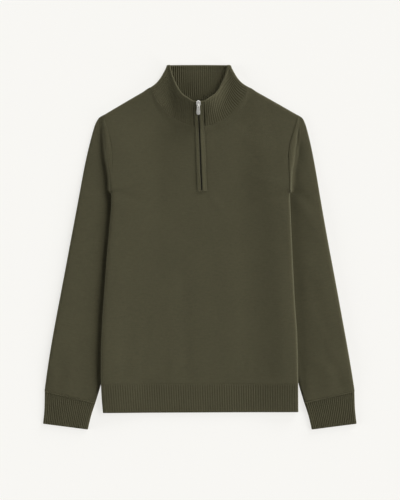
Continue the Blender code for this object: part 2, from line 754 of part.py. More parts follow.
def collar():
    """The stand collar of doubled rib, its back flat on the floor and its front standing up."""
    outer = np.array([collar_row(rise) for rise in COLLAR_ROWS])
    normals = grid_normals(outer, False)
    if normals[2, 20, 2] < 0:
        normals = -normals
    columns = outer.shape[1]
    front_columns = 2 * COLLAR_FRONT_RIBS + 1
    ridge = rib_ridge(columns)
    inner_ridge = -rib_ridge(columns)
    flat_back = slice(front_columns, columns - front_columns)
    ridge[:, flat_back] = 0.0
    ridge = np.repeat(ridge, outer.shape[0], axis=0)
    ridge[0] = 0.0
    for fold in (front_columns - 8, columns - front_columns - 8):
        inner_ridge[:, fold : fold + 16] = 0.0
    normals[:, [0, -1], 0] = 0.0
    for fold in (front_columns - 2, columns - front_columns - 6):
        normals[0, fold : fold + 8, 1] = 0.0
    normals /= np.linalg.norm(normals, axis=2, keepdims=True)
    return wall("collar", outer + ridge * normals, outer - (COLLAR_CLOTH + inner_ridge) * normals)


def front_centre_height(y):
    """Height of the front's or the collar's outside beside the zip."""
    seam = NECK_SEAM[0]
    if y <= seam.y - 12.0:
        return FRONT_TOP
    rise = (y - seam.y) / (COLLAR_TOP[0].y - seam.y)
    if rise <= 0.0:
        return FRONT_TOP + (seam.z - FRONT_TOP) * smooth((y - seam.y + 12.0) / 12.0)
    rise = min(rise, 1.0)
    return seam.z + (COLLAR_TOP[0].z - seam.z) * rise + COLLAR_BULGE * sin(pi * rise)


def strip(name, left_of_zip, right_of_zip, proud, thickness, y_from, y_to):
    """A strip along the zip between two distances from it, following the front and the collar."""
    rows = [y_from] + [y for y in STRIP_ROWS if y_from + 2 < y < y_to - 2] + [y_to]
    outer = []
    for y in rows:
        line = []
        for share in (0.0, 0.5, 1.0):
            x = zip_x(y) + left_of_zip + (right_of_zip - left_of_zip) * share
            line.append((x, y, front_centre_height(y) + proud))
        outer.append(line)
    outer = np.array(outer)
    slope = np.gradient([front_centre_height(y) for y in rows], rows)
    normals = np.array([(0.0, -g, 1.0) for g in slope])[:, None, :]
    normals /= np.linalg.norm(normals, axis=2, keepdims=True)
    return wall(name, outer, outer - thickness * normals)


def on_slider(along_zip, across, above):
    """World point, in mm, of a point given in the slider's own directions: down the zip, right and out."""
    slope = SLIDER_SLOPE
    return (
        zip_x(SLIDER_Y) + across,
        SLIDER_Y - along_zip * cos(slope) - above * sin(slope),
        front_centre_height(SLIDER_Y) + BAND_PROUD - along_zip * sin(slope) + above * cos(slope),
    )


def plate(name, outline, bottom, top, edge_drop=0.0, droop=0.0, pivot=(0.0, 0.0), holes=()):
    """A plate in the slider's directions, from its outline and turned by droop about its pivot."""
    grids = []
    for height, drop in ((top, edge_drop), (bottom, 0.0)):
        rows = []
        for spot in outline:
            row = []
            for across in (-spot.half, -spot.inner, spot.inner, spot.half):
                down = spot.along - pivot[0]
                above = height - pivot[1] - (drop if abs(across) == spot.half else 0.0)
                turned_down = pivot[0] + down * cos(droop) + above * sin(droop)
                turned_above = pivot[1] + above * cos(droop) - down * sin(droop)
                row.append(on_slider(turned_down, across, turned_above))
            rows.append(row)
        grids.append(np.array(rows))
    return wall(name, *grids, holes=holes)


def arch_path(inset):
    """Points (along, above) of the slider's arch, that far inside its outside."""
    start, end, top = ARCH_START + inset, ARCH_END - inset, ARCH_TOP - inset
    corner = 1.0 - 0.6 * inset
    return [(start, ARCH_FOOT), (start, top - corner), (start + corner, top), (end - corner, top)] + [
        (end, top - corner),
        (end, ARCH_FOOT),
    ]


def zip_slider():
    """The slider: a shield-shaped body with the arch that holds the pull."""
    body = plate("zip_slider", SLIDER, SEAM, SLIDER_TOP, edge_drop=SLIDER_EDGE_DROP)
    sides = (-ARCH_HALF_WIDTH, ARCH_HALF_WIDTH)
    outside, inside = [
        np.array([[on_slider(along_zip, across, above) for across in sides] for along_zip, above in arch_path(inset)])
        for inset in (0.0, ARCH_WIRE)
    ]
    arch = wall("zip_slider_arch", outside, inside)
    arch.hide_render = True
    arch.display_type = "WIRE"
    union = body.modifiers.new("arch", "BOOLEAN")
    union.operation = "UNION"
    union.object = arch
    return body


def zip_pull():
    """The pull tab: its crossbar lies under the slider's arch, and its origin is on the hinge axis."""
    half = PULL_THICKNESS / 2
    pull = plate(
        "zip_pull",
        PULL,
        PULL_HEIGHT - half,
        PULL_HEIGHT + half,
        droop=PULL_DROOP,
        pivot=(PULL_BAR, PULL_HEIGHT),
        holes={(1, 1)},
    )
    axis = Vector(on_slider(PULL_BAR, 0.0, PULL_HEIGHT)) * MM
    pull.data.transform(Matrix.Translation(-axis))
    pull.location = axis
    return pull


def clear_scene():
    for obj in list(bpy.data.objects):
        bpy.data.objects.remove(obj, do_unlink=True)


def main():
    clear_scene()
    knit = material("knit", (0.055, 0.052, 0.026), 0.9)
    tape = material("zip_tape", (0.012, 0.012, 0.008), 0.8)
    cloth = [
        front_panel(),
        back_panel(),
        hem_front(),
        hem_back(),
        sleeve(-1, "sleeve_left"),
        sleeve(1, "sleeve_right"),
        cuff(-1, "cuff_left"),
        cuff(1, "cuff_right"),
        collar(),
        strip("placket_left", -ZIP_GAP - BAND_LEFT, -ZIP_GAP, BAND_PROUD, BAND_CLOTH, ZIP_END, ZIP_TOP),
        strip("placket_right", ZIP_GAP, ZIP_GAP + BAND_RIGHT, BAND_PROUD, BAND_CLOTH, ZIP_END, ZIP_TOP),
    ]
    for obj in cloth:
        obj.data.materials.append(knit)
    chain = strip("zip_chain", SEAM - ZIP_GAP, ZIP_GAP - SEAM, -0.6, 1.4, ZIP_END + 1.0, ZIP_TOP - 1.0)
    chain.data.materials.append(tape)
    steel = material("brushed_steel", (0.6, 0.6, 0.55), 0.3, 1.0)
    for obj in (zip_slider(), zip_pull()):
        obj.data.materials.append(steel)


main()
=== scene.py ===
"""The looks of a quarter zip sweater that lies on its back.

Every cloth piece is a thin shell on its solid's form, worked out from the same named sizes and
tables as the solids, then refined, creased and ribbed. Tables are in millimetres.
"""

from collections import namedtuple
from math import cos, pi, radians, sin

import bmesh
import bpy
import numpy as np
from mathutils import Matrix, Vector


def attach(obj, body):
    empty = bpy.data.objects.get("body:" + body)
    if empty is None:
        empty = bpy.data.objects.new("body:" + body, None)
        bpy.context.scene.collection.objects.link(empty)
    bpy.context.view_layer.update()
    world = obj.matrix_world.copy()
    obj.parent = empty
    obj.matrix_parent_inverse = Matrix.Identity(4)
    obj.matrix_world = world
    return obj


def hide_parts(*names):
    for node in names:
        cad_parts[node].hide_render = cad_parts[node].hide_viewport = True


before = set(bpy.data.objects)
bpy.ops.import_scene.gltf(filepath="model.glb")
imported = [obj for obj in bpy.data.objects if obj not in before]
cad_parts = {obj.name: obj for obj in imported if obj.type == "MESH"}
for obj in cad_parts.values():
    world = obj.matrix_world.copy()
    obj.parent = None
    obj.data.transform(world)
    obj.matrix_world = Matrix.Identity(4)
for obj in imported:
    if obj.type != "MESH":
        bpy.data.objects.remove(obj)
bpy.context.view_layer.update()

MM = 0.001

# Driving sizes
CLOTH = 2.0
SLEEVE_CLOTH = 1.8
GATHERED_CLOTH = 0.7
COLLAR_CLOTH = 3.0
SEAM = 0.3
FRONT_TOP = 4.9
SLEEVE_TOP = 5.0
SLEEVE_CROWN = 1.3
UNDERSIDE_OVER_SLEEVE = 5.4
TURNED_UNDER = 28.0
SIDE_SLOPE = (110.0, 95.0)
SIDE_SLOPE_FINE = (116.0, 107.0)
RIB_PITCH = 5.1
RIB_HEIGHT = 0.9
HEM_TOP = -293.4
HEM_BOTTOM = -354.5
HEM_MIDDLE = (HEM_TOP + HEM_BOTTOM) / 2
HEM_HALF = 205.0
HEM_FALL = 210.0
UNDERARM = 121.0
SLEEVE_FREE = UNDERARM - 9.0
SHOULDER_TIP = 282.0
NECK_POINT = (107.0, 339.5)
BACK_NECK = 316.0
COLLAR_BACK_START = 314.6
CUFF_RIBS = 24
CUFF_TOP = 5.2
CUFF_WAIST = 1.2
CUFF_JOINT_OUTER_Y = -308.1
CUFF_JOINT_INNER_Y = -333.5
CUFF_END_OUTER = (335.3, -378.6)
CUFF_END_INNER = (239.4, -391.0)
SLEEVE_LEAN = radians(13.0)

# Zip and placket
ZIP_END = 118.3
ZIP_TOP = 308.5
ZIP_X_END = 4.0
ZIP_X_TOP = -3.4
ZIP_GAP = 1.5
BAND_LEFT = 8.0
BAND_RIGHT = 9.6
BAND_PROUD = 1.3
BAND_CLOTH = 3.0

Edge = namedtuple("Edge", "y left right")
Width = namedtuple("Width", "y half")
Level = namedtuple("Level", "y rise")
Station = namedtuple("Station", "half y z")
Section = namedtuple("Section", "y points")
Spot = namedtuple("Spot", "along half")
Crease = namedtuple("Crease", "x0 y0 x1 y1 width height")
Detail = namedtuple("Detail", "row_step column_step edge ribs rib_cuts seams")


def table(kind, *rows):
    """Rows of numbers as named rows."""
    return [kind(*row) for row in rows]


# Outlines from above: height y, then x on the left and on the right
BODY_EDGE = table(Edge,
    (HEM_BOTTOM, -207.4, 210.9), (-325.0, -210.0, 210.6), (-293.8, -211.4, 210.1), (-231.8, -211.2, 209.1),
    (-186.8, -209.7, 207.6), (-116.2, -205.7, 202.7), (-52.0, -200.7, 199.4), (25.0, -195.0, 195.8),
    (82.8, -189.0, 193.6), (121.3, -188.6, 191.6),
)
ARMHOLE = table(Edge,
    (121.3, -188.6, 191.6), (153.4, -187.4, 190.4), (192.0, -186.8, 188.8), (211.0, -187.9, 190.0),
    (230.5, -191.1, 195.0), (249.7, -196.5, 200.5), (268.0, -202.6, 206.4), (282.0, -205.6, 209.0),
)
# How far the cloth rolls over the armhole seam onto the sleeve
CRESCENT = table(Width,
    (121.0, 2.4), (134.0, 3.2), (153.0, 5.0), (172.0, 8.6), (185.0, 11.6), (198.0, 13.6), (211.0, 14.2),
    (230.0, 12.8), (250.0, 9.0), (265.0, 5.0), (282.0, 1.0),
)
SLEEVE_EDGE = table(Edge,
    (-307.7, -332.1, 331.1), (-247.8, -323.9, 321.6), (-162.2, -309.2, 306.3), (-76.6, -293.0, 290.7),
    (9.0, -277.0, 274.6), (94.6, -260.9, 259.5), (180.2, -244.8, 244.9), (223.0, -234.8, 236.2),
    (248.7, -227.9, 229.8), (261.5, -223.8, 226.0), (270.1, -219.5, 222.6), (276.5, -215.0, 217.9),
    (282.0, -208.4, 211.6),
)
# The sleeves' hidden edge under the body, from the middle
SLEEVE_INNER = table(Width,
    (-334.0, 223.0), (-312.0, 217.5), (-296.0, 211.8), (-240.0, 199.0), (-180.0, 186.0), (-120.0, 173.0),
    (-60.0, 159.5), (0.0, 147.0), (40.0, 142.5), (70.0, 147.0), (90.0, 158.0), (104.0, 171.0),
    (113.0, 181.0), (125.0, 184.0), (200.0, 184.5), (282.0, 201.0),
)
# How much higher the front lies at its sides, and how high the body's underside lies there
SIDE_RISE = table(Level,
    (HEM_BOTTOM, 4.6), (-320.0, 6.0), (-285.0, 8.8), (-240.0, 9.6), (120.0, 9.6), (160.0, 9.0),
    (210.0, 6.5), (250.0, 4.0), (282.0, 2.2), (345.0, 1.6),
)
UNDERSIDE = table(Level,
    (HEM_BOTTOM, 0.0), (-338.0, 0.0), (-300.0, 5.3), (-285.0, UNDERSIDE_OVER_SLEEVE),
    (120.0, UNDERSIDE_OVER_SLEEVE), (134.0, 2.5), (345.0, 2.4),
)
# The neck seam and the collar's top edge, from the zip to the fold at the side
NECK_SEAM = table(Station,
    (10.0, 257.3, 6.6), (21.0, 259.3, 6.7), (48.0, 271.0, 6.9), (68.0, 287.0, 8.2), (88.0, 311.0, 9.8),
    (99.5, 331.0, 10.5), (101.4, NECK_POINT[1], 10.6),
)
COLLAR_TOP = table(Station,
    (10.0, 308.5, 32.0), (21.0, 315.0, 30.2), (37.0, 327.0, 22.5), (49.0, 348.0, 15.6), (57.5, 370.0, 11.6),
    (60.4, 383.0, 10.8), (61.6, 388.2, 10.6),
)
FOLD_RADIUS = 5.3
SHOULDER_WRAP = 4.2
SHOULDER_BOW = 0.4
FOLD_WIDTH = 5.6
# Profiles of the sleeve's front end below the underarm, and of its edge under the body
UNDERARM_ROWS = table(Section,
    (119.3, ((2.5, 13.4), (2.8, 12.4), (3.1, 11.0), (3.7, 8.6), (5.0, 6.3), (8.0, 5.1))),
    (117.0, ((2.7, 9.0), (2.9, 8.4), (3.2, 7.7), (3.9, 6.6), (5.2, 5.6), (8.0, 5.05))),
    (114.5, ((-1.0, 4.5), (0.0, 4.9), (1.2, 5.0), (2.5, 5.0), (4.5, 5.0), (8.0, 5.0))),
)
INNER_EDGE = ((0.0, 2.7), (1.2, 4.1), (3.6, 5.0), (6.0, 5.0), (8.0, 5.0), (10.0, 5.0))
# Rows and columns of the solids' coarse grids
SLOT_START = ZIP_END - SEAM
UNDERARM_TOP = 121.4
HALF_CURLED = 119.7
LOWER_ROWS = tuple(np.linspace(HEM_TOP + SEAM, 98.0, 8)) + (SLOT_START, HALF_CURLED, UNDERARM_TOP)
SHOULDER_START = SHOULDER_TIP - SEAM / 2 - SHOULDER_WRAP
ARMHOLE_ROWS = (134.0, 150.0, 170.0, 192.0, 214.0, 235.0, 252.0, 266.0, SHOULDER_START)
ROWS_ABOVE = len(ARMHOLE_ROWS)
SLEEVE_ROWS = (281.6,) + ARMHOLE_ROWS[::-1] + (UNDERARM_TOP,) + tuple(row.y for row in UNDERARM_ROWS)
SLEEVE_ROWS += (110.0, 103.0, 90.0, 70.0, 40.0, 0.0, -50.0, -105.0, -160.0, -215.0, -265.0, -307.6)
WRAP_ANGLES = (30.0, 60.0, 90.0)
ACROSS_SIDE = (0.49, 0.57, 0.66, 0.76, 0.85, 0.93, 1.0)
ACROSS_FRONT = (0.0, 0.06, 0.12, 0.18, 0.24, 0.30, 0.36, 0.41, 0.45, 0.467) + ACROSS_SIDE
ACROSS_BACK = (0.0, 0.14, 0.28, 0.40) + ACROSS_SIDE
OUTER_TURN = (45.0, 90.0, 135.0, 180.0)
ARC_STEPS = 4
TAIL_STEPS = 2
TURNED_COLUMNS = ARC_STEPS + TAIL_STEPS
BACK_CLEAR = 0.5
COLLAR_FRONT_RIBS = 24
COLLAR_BACK_RIBS = 27
COLLAR_ROWS = (0.0, 0.15, 0.3, 0.47, 0.65, 0.83, 1.0)
COLLAR_BACK_HALF = 60.0
COLLAR_TOP_BACK = 388.5
COLLAR_LEAN = -2.2
COLLAR_BULGE = -3.5
NECK_LIFT = 3.6
NECK_LIFT_REACH = 85.0
NECK_LIFT_AT = (100.0, 330.0)
COLLAR_WAIST = 0.065
COLLAR_LOW_WAIST = 0.28
COLLAR_SWAY = 1.6
STRIP_ROWS = (150.0, 185.0, 220.0, 244.0, 251.0, 257.0, 264.0, 272.0, 281.0, 290.0, 299.0)

# Slider and pull: distances down the zip from the slider's middle, and above the placket
SLIDER_Y = 303.5
SLIDER_SLOPE = radians(34.0)
SLIDER_TOP = 2.2
ARCH_START = -2.0
ARCH_END = 5.4
PULL_BAR = 2.6
PULL_HEIGHT = 3.6
PULL_DROOP = radians(3.0)
PULL_WINDOW = (5.05, 1.95, 1.5)
SLIDER = table(Spot,
    (-9.0, 0.9), (-7.6, 2.6), (-5.0, 4.1), (-2.0, 4.5), (1.0, 4.2), (3.6, 3.3), (6.0, 2.9),
)
PULL = table(Spot,
    (2.0, 2.6), (3.2, 2.7), (6.8, 3.0), (12.6, 3.4), (18.6, 3.9), (22.6, 3.8), (24.4, 3.0), (25.2, 1.8),
)


def smooth(value):
    """0 to 1 with a soft start and a soft end."""
    value = np.clip(value, 0.0, 1.0)
    return value * value * (3.0 - 2.0 * value)


def hermite(start, end, pull_start, pull_end, t):
    """From start to end at share t, with the given pulls at both ends."""
    return (
        start * (1 + 2 * t) * (1 - t) ** 2
        + pull_start * t * (1 - t) ** 2
        + end * t * t * (3 - 2 * t)
        - pull_end * t * t * (1 - t)
    )


def tangents(slope):
    """Slopes at the points of a curve, from those between them, so that it never overshoots the points."""
    before, after = slope[:-1], slope[1:]
    same = before * after > 0
    total = np.where(same, before + after, 1.0)
    return np.concatenate([slope[:1], np.where(same, 2.0 * before * after / total, 0.0), slope[-1:]])


def spline(at, value):
    """A smooth curve through the points that never overshoots them."""
    at, value = np.array(at, float), np.array(value, float)
    order = np.argsort(at)
    at, value = at[order], value[order]
    step = np.diff(at)
    tangent = tangents(np.diff(value) / step)

    def curve(x):
        x = min(max(float(x), at[0]), at[-1])
        i = min(int(np.searchsorted(at, x, "right")) - 1, len(step) - 1)
        t = (x - at[i]) / step[i]
        return hermite(value[i], value[i + 1], tangent[i] * step[i], tangent[i + 1] * step[i], t)

    return curve


def column(rows, name):
    """A smooth curve of one column of a table against its height y."""
    return spline([row.y for row in rows], [getattr(row, name) for row in rows])


body_edge = {-1: column(BODY_EDGE, "left"), 1: column(BODY_EDGE, "right")}
armhole = {-1: column(ARMHOLE, "left"), 1: column(ARMHOLE, "right")}
sleeve_edge = {-1: column(SLEEVE_EDGE, "left"), 1: column(SLEEVE_EDGE, "right")}
crescent = column(CRESCENT, "half")
sleeve_inner = column(SLEEVE_INNER, "half")
side_rise = column(SIDE_RISE, "rise")
underside_level = column(UNDERSIDE, "rise")
neck_line = spline([s.half for s in NECK_SEAM], [s.y for s in NECK_SEAM])


def side_x(y, side):
    """The body's edge below the underarm, and the armhole seam above it."""
    return body_edge[side](y) if y < UNDERARM else armhole[side](y)


def zip_x(y):
    """The zip runs a little aslant."""
    share = (y - ZIP_END) / (ZIP_TOP - ZIP_END)
    return ZIP_X_END + (ZIP_X_TOP - ZIP_X_END) * min(max(share, 0.0), 1.0)


def slot_x(y, side):
    """The edge of the slot in front and collar that the placket fills."""
    band = BAND_LEFT if side < 0 else BAND_RIGHT
    return zip_x(y) + side * (ZIP_GAP + band + SEAM)


def neck_lift(x, y):
    """How much the front rises toward the neck."""
    near_neck = np.hypot(abs(x) - NECK_LIFT_AT[0], y - NECK_LIFT_AT[1]) / NECK_LIFT_REACH
    return NECK_LIFT * (1.0 - smooth(near_neck))


def front_height(x, y):
    """Height of the outside of the front."""
    reach = abs(side_x(y, 1 if x > 0 else -1))
    ramp = smooth((abs(x) - (reach - SIDE_SLOPE[0])) / SIDE_SLOPE[1])
    return FRONT_TOP + side_rise(y) * ramp + neck_lift(x, y)


def underside_height(x, y):
    """Height of the lowest cloth of the body: on the floor, and over the sleeves at its sides."""
    ramp = smooth((abs(x) - (sleeve_inner(y) - 46.0)) / 41.0)
    return underside_level(y) * ramp


def grid_normals(points, ring):
    """Outward unit normals of a grid of points, rows by columns; ring closes each row."""
    if ring:
        across = np.roll(points, -1, axis=1) - np.roll(points, 1, axis=1)
    else:
        across = np.gradient(points, axis=1)
    along = np.gradient(points, axis=0)
    normals = np.cross(across, along)
    return normals / np.maximum(np.linalg.norm(normals, axis=2, keepdims=True), 1e-9)


def add_object(name, data):
    """A new object in the scene."""
    obj = bpy.data.objects.new(name, data)
    bpy.context.scene.collection.objects.link(obj)
    return obj


def normals_up(points, ring, row, column):
    """Unit normals of a grid, turned so that the one at this row and column points up."""
    normals = grid_normals(points, ring)
    return normals if normals[row, column, 2] > 0 else -normals


def new_mesh(name, points, faces):
    """A mesh of points given in millimetres."""
    mesh = bpy.data.meshes.new(name)
    mesh.from_pydata((np.array(points) * MM).tolist(), [], faces)
    return mesh


def outward(mesh, merge=0.0):
    """Turns the mesh's faces outward, after points closer than merge are joined."""
    work = bmesh.new()
    work.from_mesh(mesh)
    if merge:
        bmesh.ops.remove_doubles(work, verts=work.verts, dist=merge)
    bmesh.ops.recalc_face_normals(work, faces=work.faces)
    work.to_mesh(mesh)
    work.free()
    mesh.shade_smooth()
    mesh.set_sharp_from_angle(angle=radians(50))


def material(name, colour, roughness, metallic=0.0):
    """A Principled BSDF material with its node tree and shader."""
    made = bpy.data.materials.new(name)
    made.use_nodes = True
    shader = made.node_tree.nodes["Principled BSDF"]
    shader.inputs["Base Color"].default_value = (*colour, 1.0)
    shader.inputs["Roughness"].default_value = roughness
    shader.inputs["Metallic"].default_value = metallic
    return made, made.node_tree, shader


def front_top_line(x, side):
    """Height y of the front's upper edge at x: the neck seam, then the shoulder."""
    reach = abs(x)
    if reach < NECK_SEAM[-1].half:
        return neck_line(reach)
    tip = abs(armhole[side](SHOULDER_TIP))
    share = max(reach - NECK_POINT[0], 0.0) / (tip - NECK_POINT[0])
    bow = SHOULDER_BOW * sin(pi * min(share, 1.0))
    return NECK_POINT[1] - 0.2 + (SHOULDER_TIP - NECK_POINT[1]) * share + bow


def back_top_line(x, side):
    """Height y of the back's upper edge at x: the neck seam, then the shoulder."""
    if abs(x) < NECK_POINT[0]:
        fold_x, fold_y = NECK_SEAM[-1].half, NECK_SEAM[-1].y
        return back_curve(min(abs(x), fold_x), fold_x, fold_y, BACK_NECK) - 2 * SEAM
    return front_top_line(x, side)


def fold_profile(y, side):
    """Where the fold of the body's side starts, and points (x, z) round it and along what is turned under."""
    curl = min(max((UNDERARM_TOP - y) / (UNDERARM_TOP - SLOT_START), 0.0), 1.0)
    edge = side_x(y, side)
    top = front_height(edge, y)
    bottom = underside_height(edge - side * 6.0, y)
    radius = max((top - bottom) / 2.0, 3.0)
    start = edge - side * radius * sin(min(pi * curl, pi / 2))
    points = []
    for step in range(1, ARC_STEPS + 1):
        angle = pi * curl * step / ARC_STEPS
        points.append((start + side * radius * sin(angle), top - radius * (1 - cos(angle))))
    length = SEAM + TURNED_UNDER * smooth((UNDERARM - 3.0 - y) / 22.0)
    end_x, end_z = points[-1]
    for step in range(1, TAIL_STEPS + 1):
        reach = length * step / TAIL_STEPS
        x = end_x + side * reach * cos(pi * curl)
        points.append((x, underside_height(x, y) if curl == 1.0 else end_z - reach * sin(pi * curl)))
    return start, points


def panel_line(across, y_of, side_end, top_line):
    """One row of a panel as plan points (x, y), from its left end to its right end."""
    line = []
    for side in (-1, 1):
        for f in across[::-1] if side < 0 else across:
            top_y = 300.0
            for _ in range(12):
                start = slot_x(top_y, side)
                x = start + f * (side_x(min(top_y, SHOULDER_TIP), side) - start)
                top_y = top_line(x, side)
            y = y_of(x, top_y)
            start = slot_x(max(y, ZIP_END), side)
            line.append((start + f * (side_end(min(y, SHOULDER_TIP), side) - start), y))
    return line


def share_above(k):
    """How far row k above the underarm is up to the top of its column."""
    return (ARMHOLE_ROWS[k] - UNDERARM_TOP) / (ARMHOLE_ROWS[-1] - UNDERARM_TOP)


def front_end(y, side):
    """Where the flat part of the front ends: at the fold of its side, or at the armhole seam."""
    if y < UNDERARM_TOP:
        return fold_profile(y, side)[0]
    return armhole[side](y) - side * SEAM


def front_panel():
    """The front, with the slot for the zip and the sides that are turned under."""
    rows = len(LOWER_ROWS) + ROWS_ABOVE + len(WRAP_ANGLES)
    outer = []
    for r in range(rows):
        drops = []

        def y_of(x, top_y, r=r):
            shoulder = smooth((abs(x) - 110.0) / 14.0)
            steep = smooth((abs(x) - 30.0) / 26.0) * (1.0 - smooth((abs(x) - 100.5) / 2.0))
            neck_clear = 0.35 + 1.75 * steep
            flat_end = top_y - SEAM / 2 - SHOULDER_WRAP * shoulder - neck_clear * (1 - shoulder)
            drops.append(0.0)
            if r < len(LOWER_ROWS):
                return LOWER_ROWS[r]
            if r < len(LOWER_ROWS) + ROWS_ABOVE:
                share = share_above(r - len(LOWER_ROWS))
                return LOWER_ROWS[-1] + (flat_end - LOWER_ROWS[-1]) * share
            angle = radians(WRAP_ANGLES[r - len(LOWER_ROWS) - ROWS_ABOVE])
            drops[-1] = SHOULDER_WRAP * shoulder * (1 - cos(angle))
            return flat_end + SHOULDER_WRAP * shoulder * sin(angle) + 0.08 * angle * (1 - shoulder)

        plan = panel_line(ACROSS_FRONT, y_of, front_end, front_top_line)
        line = [(x, y, front_height(x, y) - drop) for (x, y), drop in zip(plan, drops)]
        ends = {}
        for side, (x, y, z) in ((-1, line[0]), (1, line[-1])):
            if y < UNDERARM_TOP:
                ends[side] = [(px, y, pz) for px, pz in fold_profile(y, side)[1]]
            else:
                ends[side] = [(x + side * 0.01 * (k + 1), y, z) for k in range(TURNED_COLUMNS)]
        outer.append(ends[-1][::-1] + line + ends[1])
    outer = np.array(outer)
    slot_row = LOWER_ROWS.index(SLOT_START)
    curling = slice(slot_row - 1, len(LOWER_ROWS) + 1)
    thickness = np.full(outer.shape[:2] + (1,), CLOTH)
    thickness[curling, :TURNED_COLUMNS] = GATHERED_CLOTH
    thickness[curling, -TURNED_COLUMNS:] = GATHERED_CLOTH
    normals = grid_normals(outer, False)
    across = np.gradient(outer[curling], axis=1)
    flat = np.stack([-across[:, :, 2], 0.0 * across[:, :, 1], across[:, :, 0]], axis=2)
    normals[curling] = flat / np.linalg.norm(flat, axis=2, keepdims=True)
    at_neck = np.abs(outer[-1, :, 0]) < NECK_POINT[0] + 3.0
    normals[-len(WRAP_ANGLES) - 1 :, at_neck] = normals[-len(WRAP_ANGLES) - 2, at_neck]
    inner = outer - thickness * normals
    middle_column = TURNED_COLUMNS + len(ACROSS_FRONT) - 1
    holes = {(r, middle_column) for r in range(slot_row, rows - 1)}
    return wall("front_panel", outer, inner, holes=holes)


def back_end(y, side):
    """Where the full thickness of the back ends."""
    if abs(y - UNDERARM) < 10.0:
        return armhole[side](UNDERARM) - side * 6.0
    if y < UNDERARM - 1.0:
        return fold_profile(y, side)[0]
    return armhole[side](y) - side * 1.2


def back_walls(y_rows, rows_above):
    """Upper and lower points of the back, which lies between the front and what is under it."""
    upper, lower = [], []
    for r in range(len(y_rows) + rows_above):

        def y_of(x, top_y, r=r):
            if r < len(y_rows):
                return y_rows[r]
            end = top_y - SEAM / 2 - (SHOULDER_WRAP + 0.4) * smooth((abs(x) - 104.0) / 12.0)
            return y_rows[-1] + (end - y_rows[-1]) * share_above(r - len(y_rows))

        high, low = [], []
        for x, y in panel_line(ACROSS_BACK, y_of, back_end, back_top_line):
            side = 1 if x > 0 else -1
            tail_end = abs(back_end(min(y, SHOULDER_TIP), side)) - TURNED_UNDER
            folded = smooth((abs(x) - tail_end + 12.0) / 10.0) if y < UNDERARM + 4.0 else 0.0
            high.append((x, y, front_height(x, y) - CLOTH - BACK_CLEAR))
            low.append((x, y, underside_height(x, y) + (CLOTH + BACK_CLEAR) * folded))
        for side, end in ((-1, 0), (1, -1)):
            (x, y, top), bottom = high[end], low[end][2]
            radius = (top - bottom) / 2.0
            x += side * (0.7 * radius if y < UNDERARM - 1.0 else 0.5)
            place = len(high) if end else 0
            high.insert(place, (x, y, bottom + 1.6 * radius))
            low.insert(place, (x, y, bottom + 0.4 * radius))
        upper.append(high)
        lower.append(low)
    return np.array(upper), np.array(lower)


def back_panel():
    """The back, down to the rib hem and up to the collar and the shoulders."""
    return wall("back_panel", *back_walls(LOWER_ROWS, ROWS_ABOVE))


def hem_level(x, share):
    """Height y at a share of the way up the hem, whose lower edge falls a little to the left."""
    bottom = HEM_BOTTOM + x / HEM_FALL
    return bottom + (HEM_TOP - SEAM - bottom) * share


def hem_back():
    """The back of the rib hem, plain because it lies face down."""
    return wall("hem_back", *back_walls([HEM_BOTTOM + 1.2, HEM_MIDDLE, HEM_TOP - SEAM], 0))


def hem_front():
    """The front of the rib hem, with its sides turned under."""
    ribs = int(round(2 * HEM_HALF / RIB_PITCH))
    outer = []
    for share in (0.0, 0.5, 1.0):
        left, left_end = fold_profile(hem_level(0.0, share), -1)
        right, right_end = fold_profile(hem_level(0.0, share), 1)
        line = []
        for k in range(2 * ribs + 1):
            x = left + (right - left) * k / (2 * ribs)
            y = hem_level(x, share)
            line.append((x, y, front_height(x, y)))
        ends = [[(x, hem_level(x, share), z) for x, z in end] for end in (left_end, right_end)]
        outer.append(ends[0][::-1] + line + ends[1])
    outer = np.array(outer)
    normals = grid_normals(outer, False)
    ribbed = (TAIL_STEPS, outer.shape[1] - TAIL_STEPS - 1)
    return wall("hem_front", outer, outer - CLOTH * normals, ribbed=ribbed)


def spread(start, end, count):
    """Evenly spaced values after start, up to and with end."""
    return [start + (end - start) * (k + 1) / count for k in range(count)]


def arc(at, radius, angles):
    """Points (along, height) round an edge of the given radius whose middle is at a distance along."""
    return [(at + radius * sin(radians(a)), radius + radius * cos(radians(a))) for a in angles]


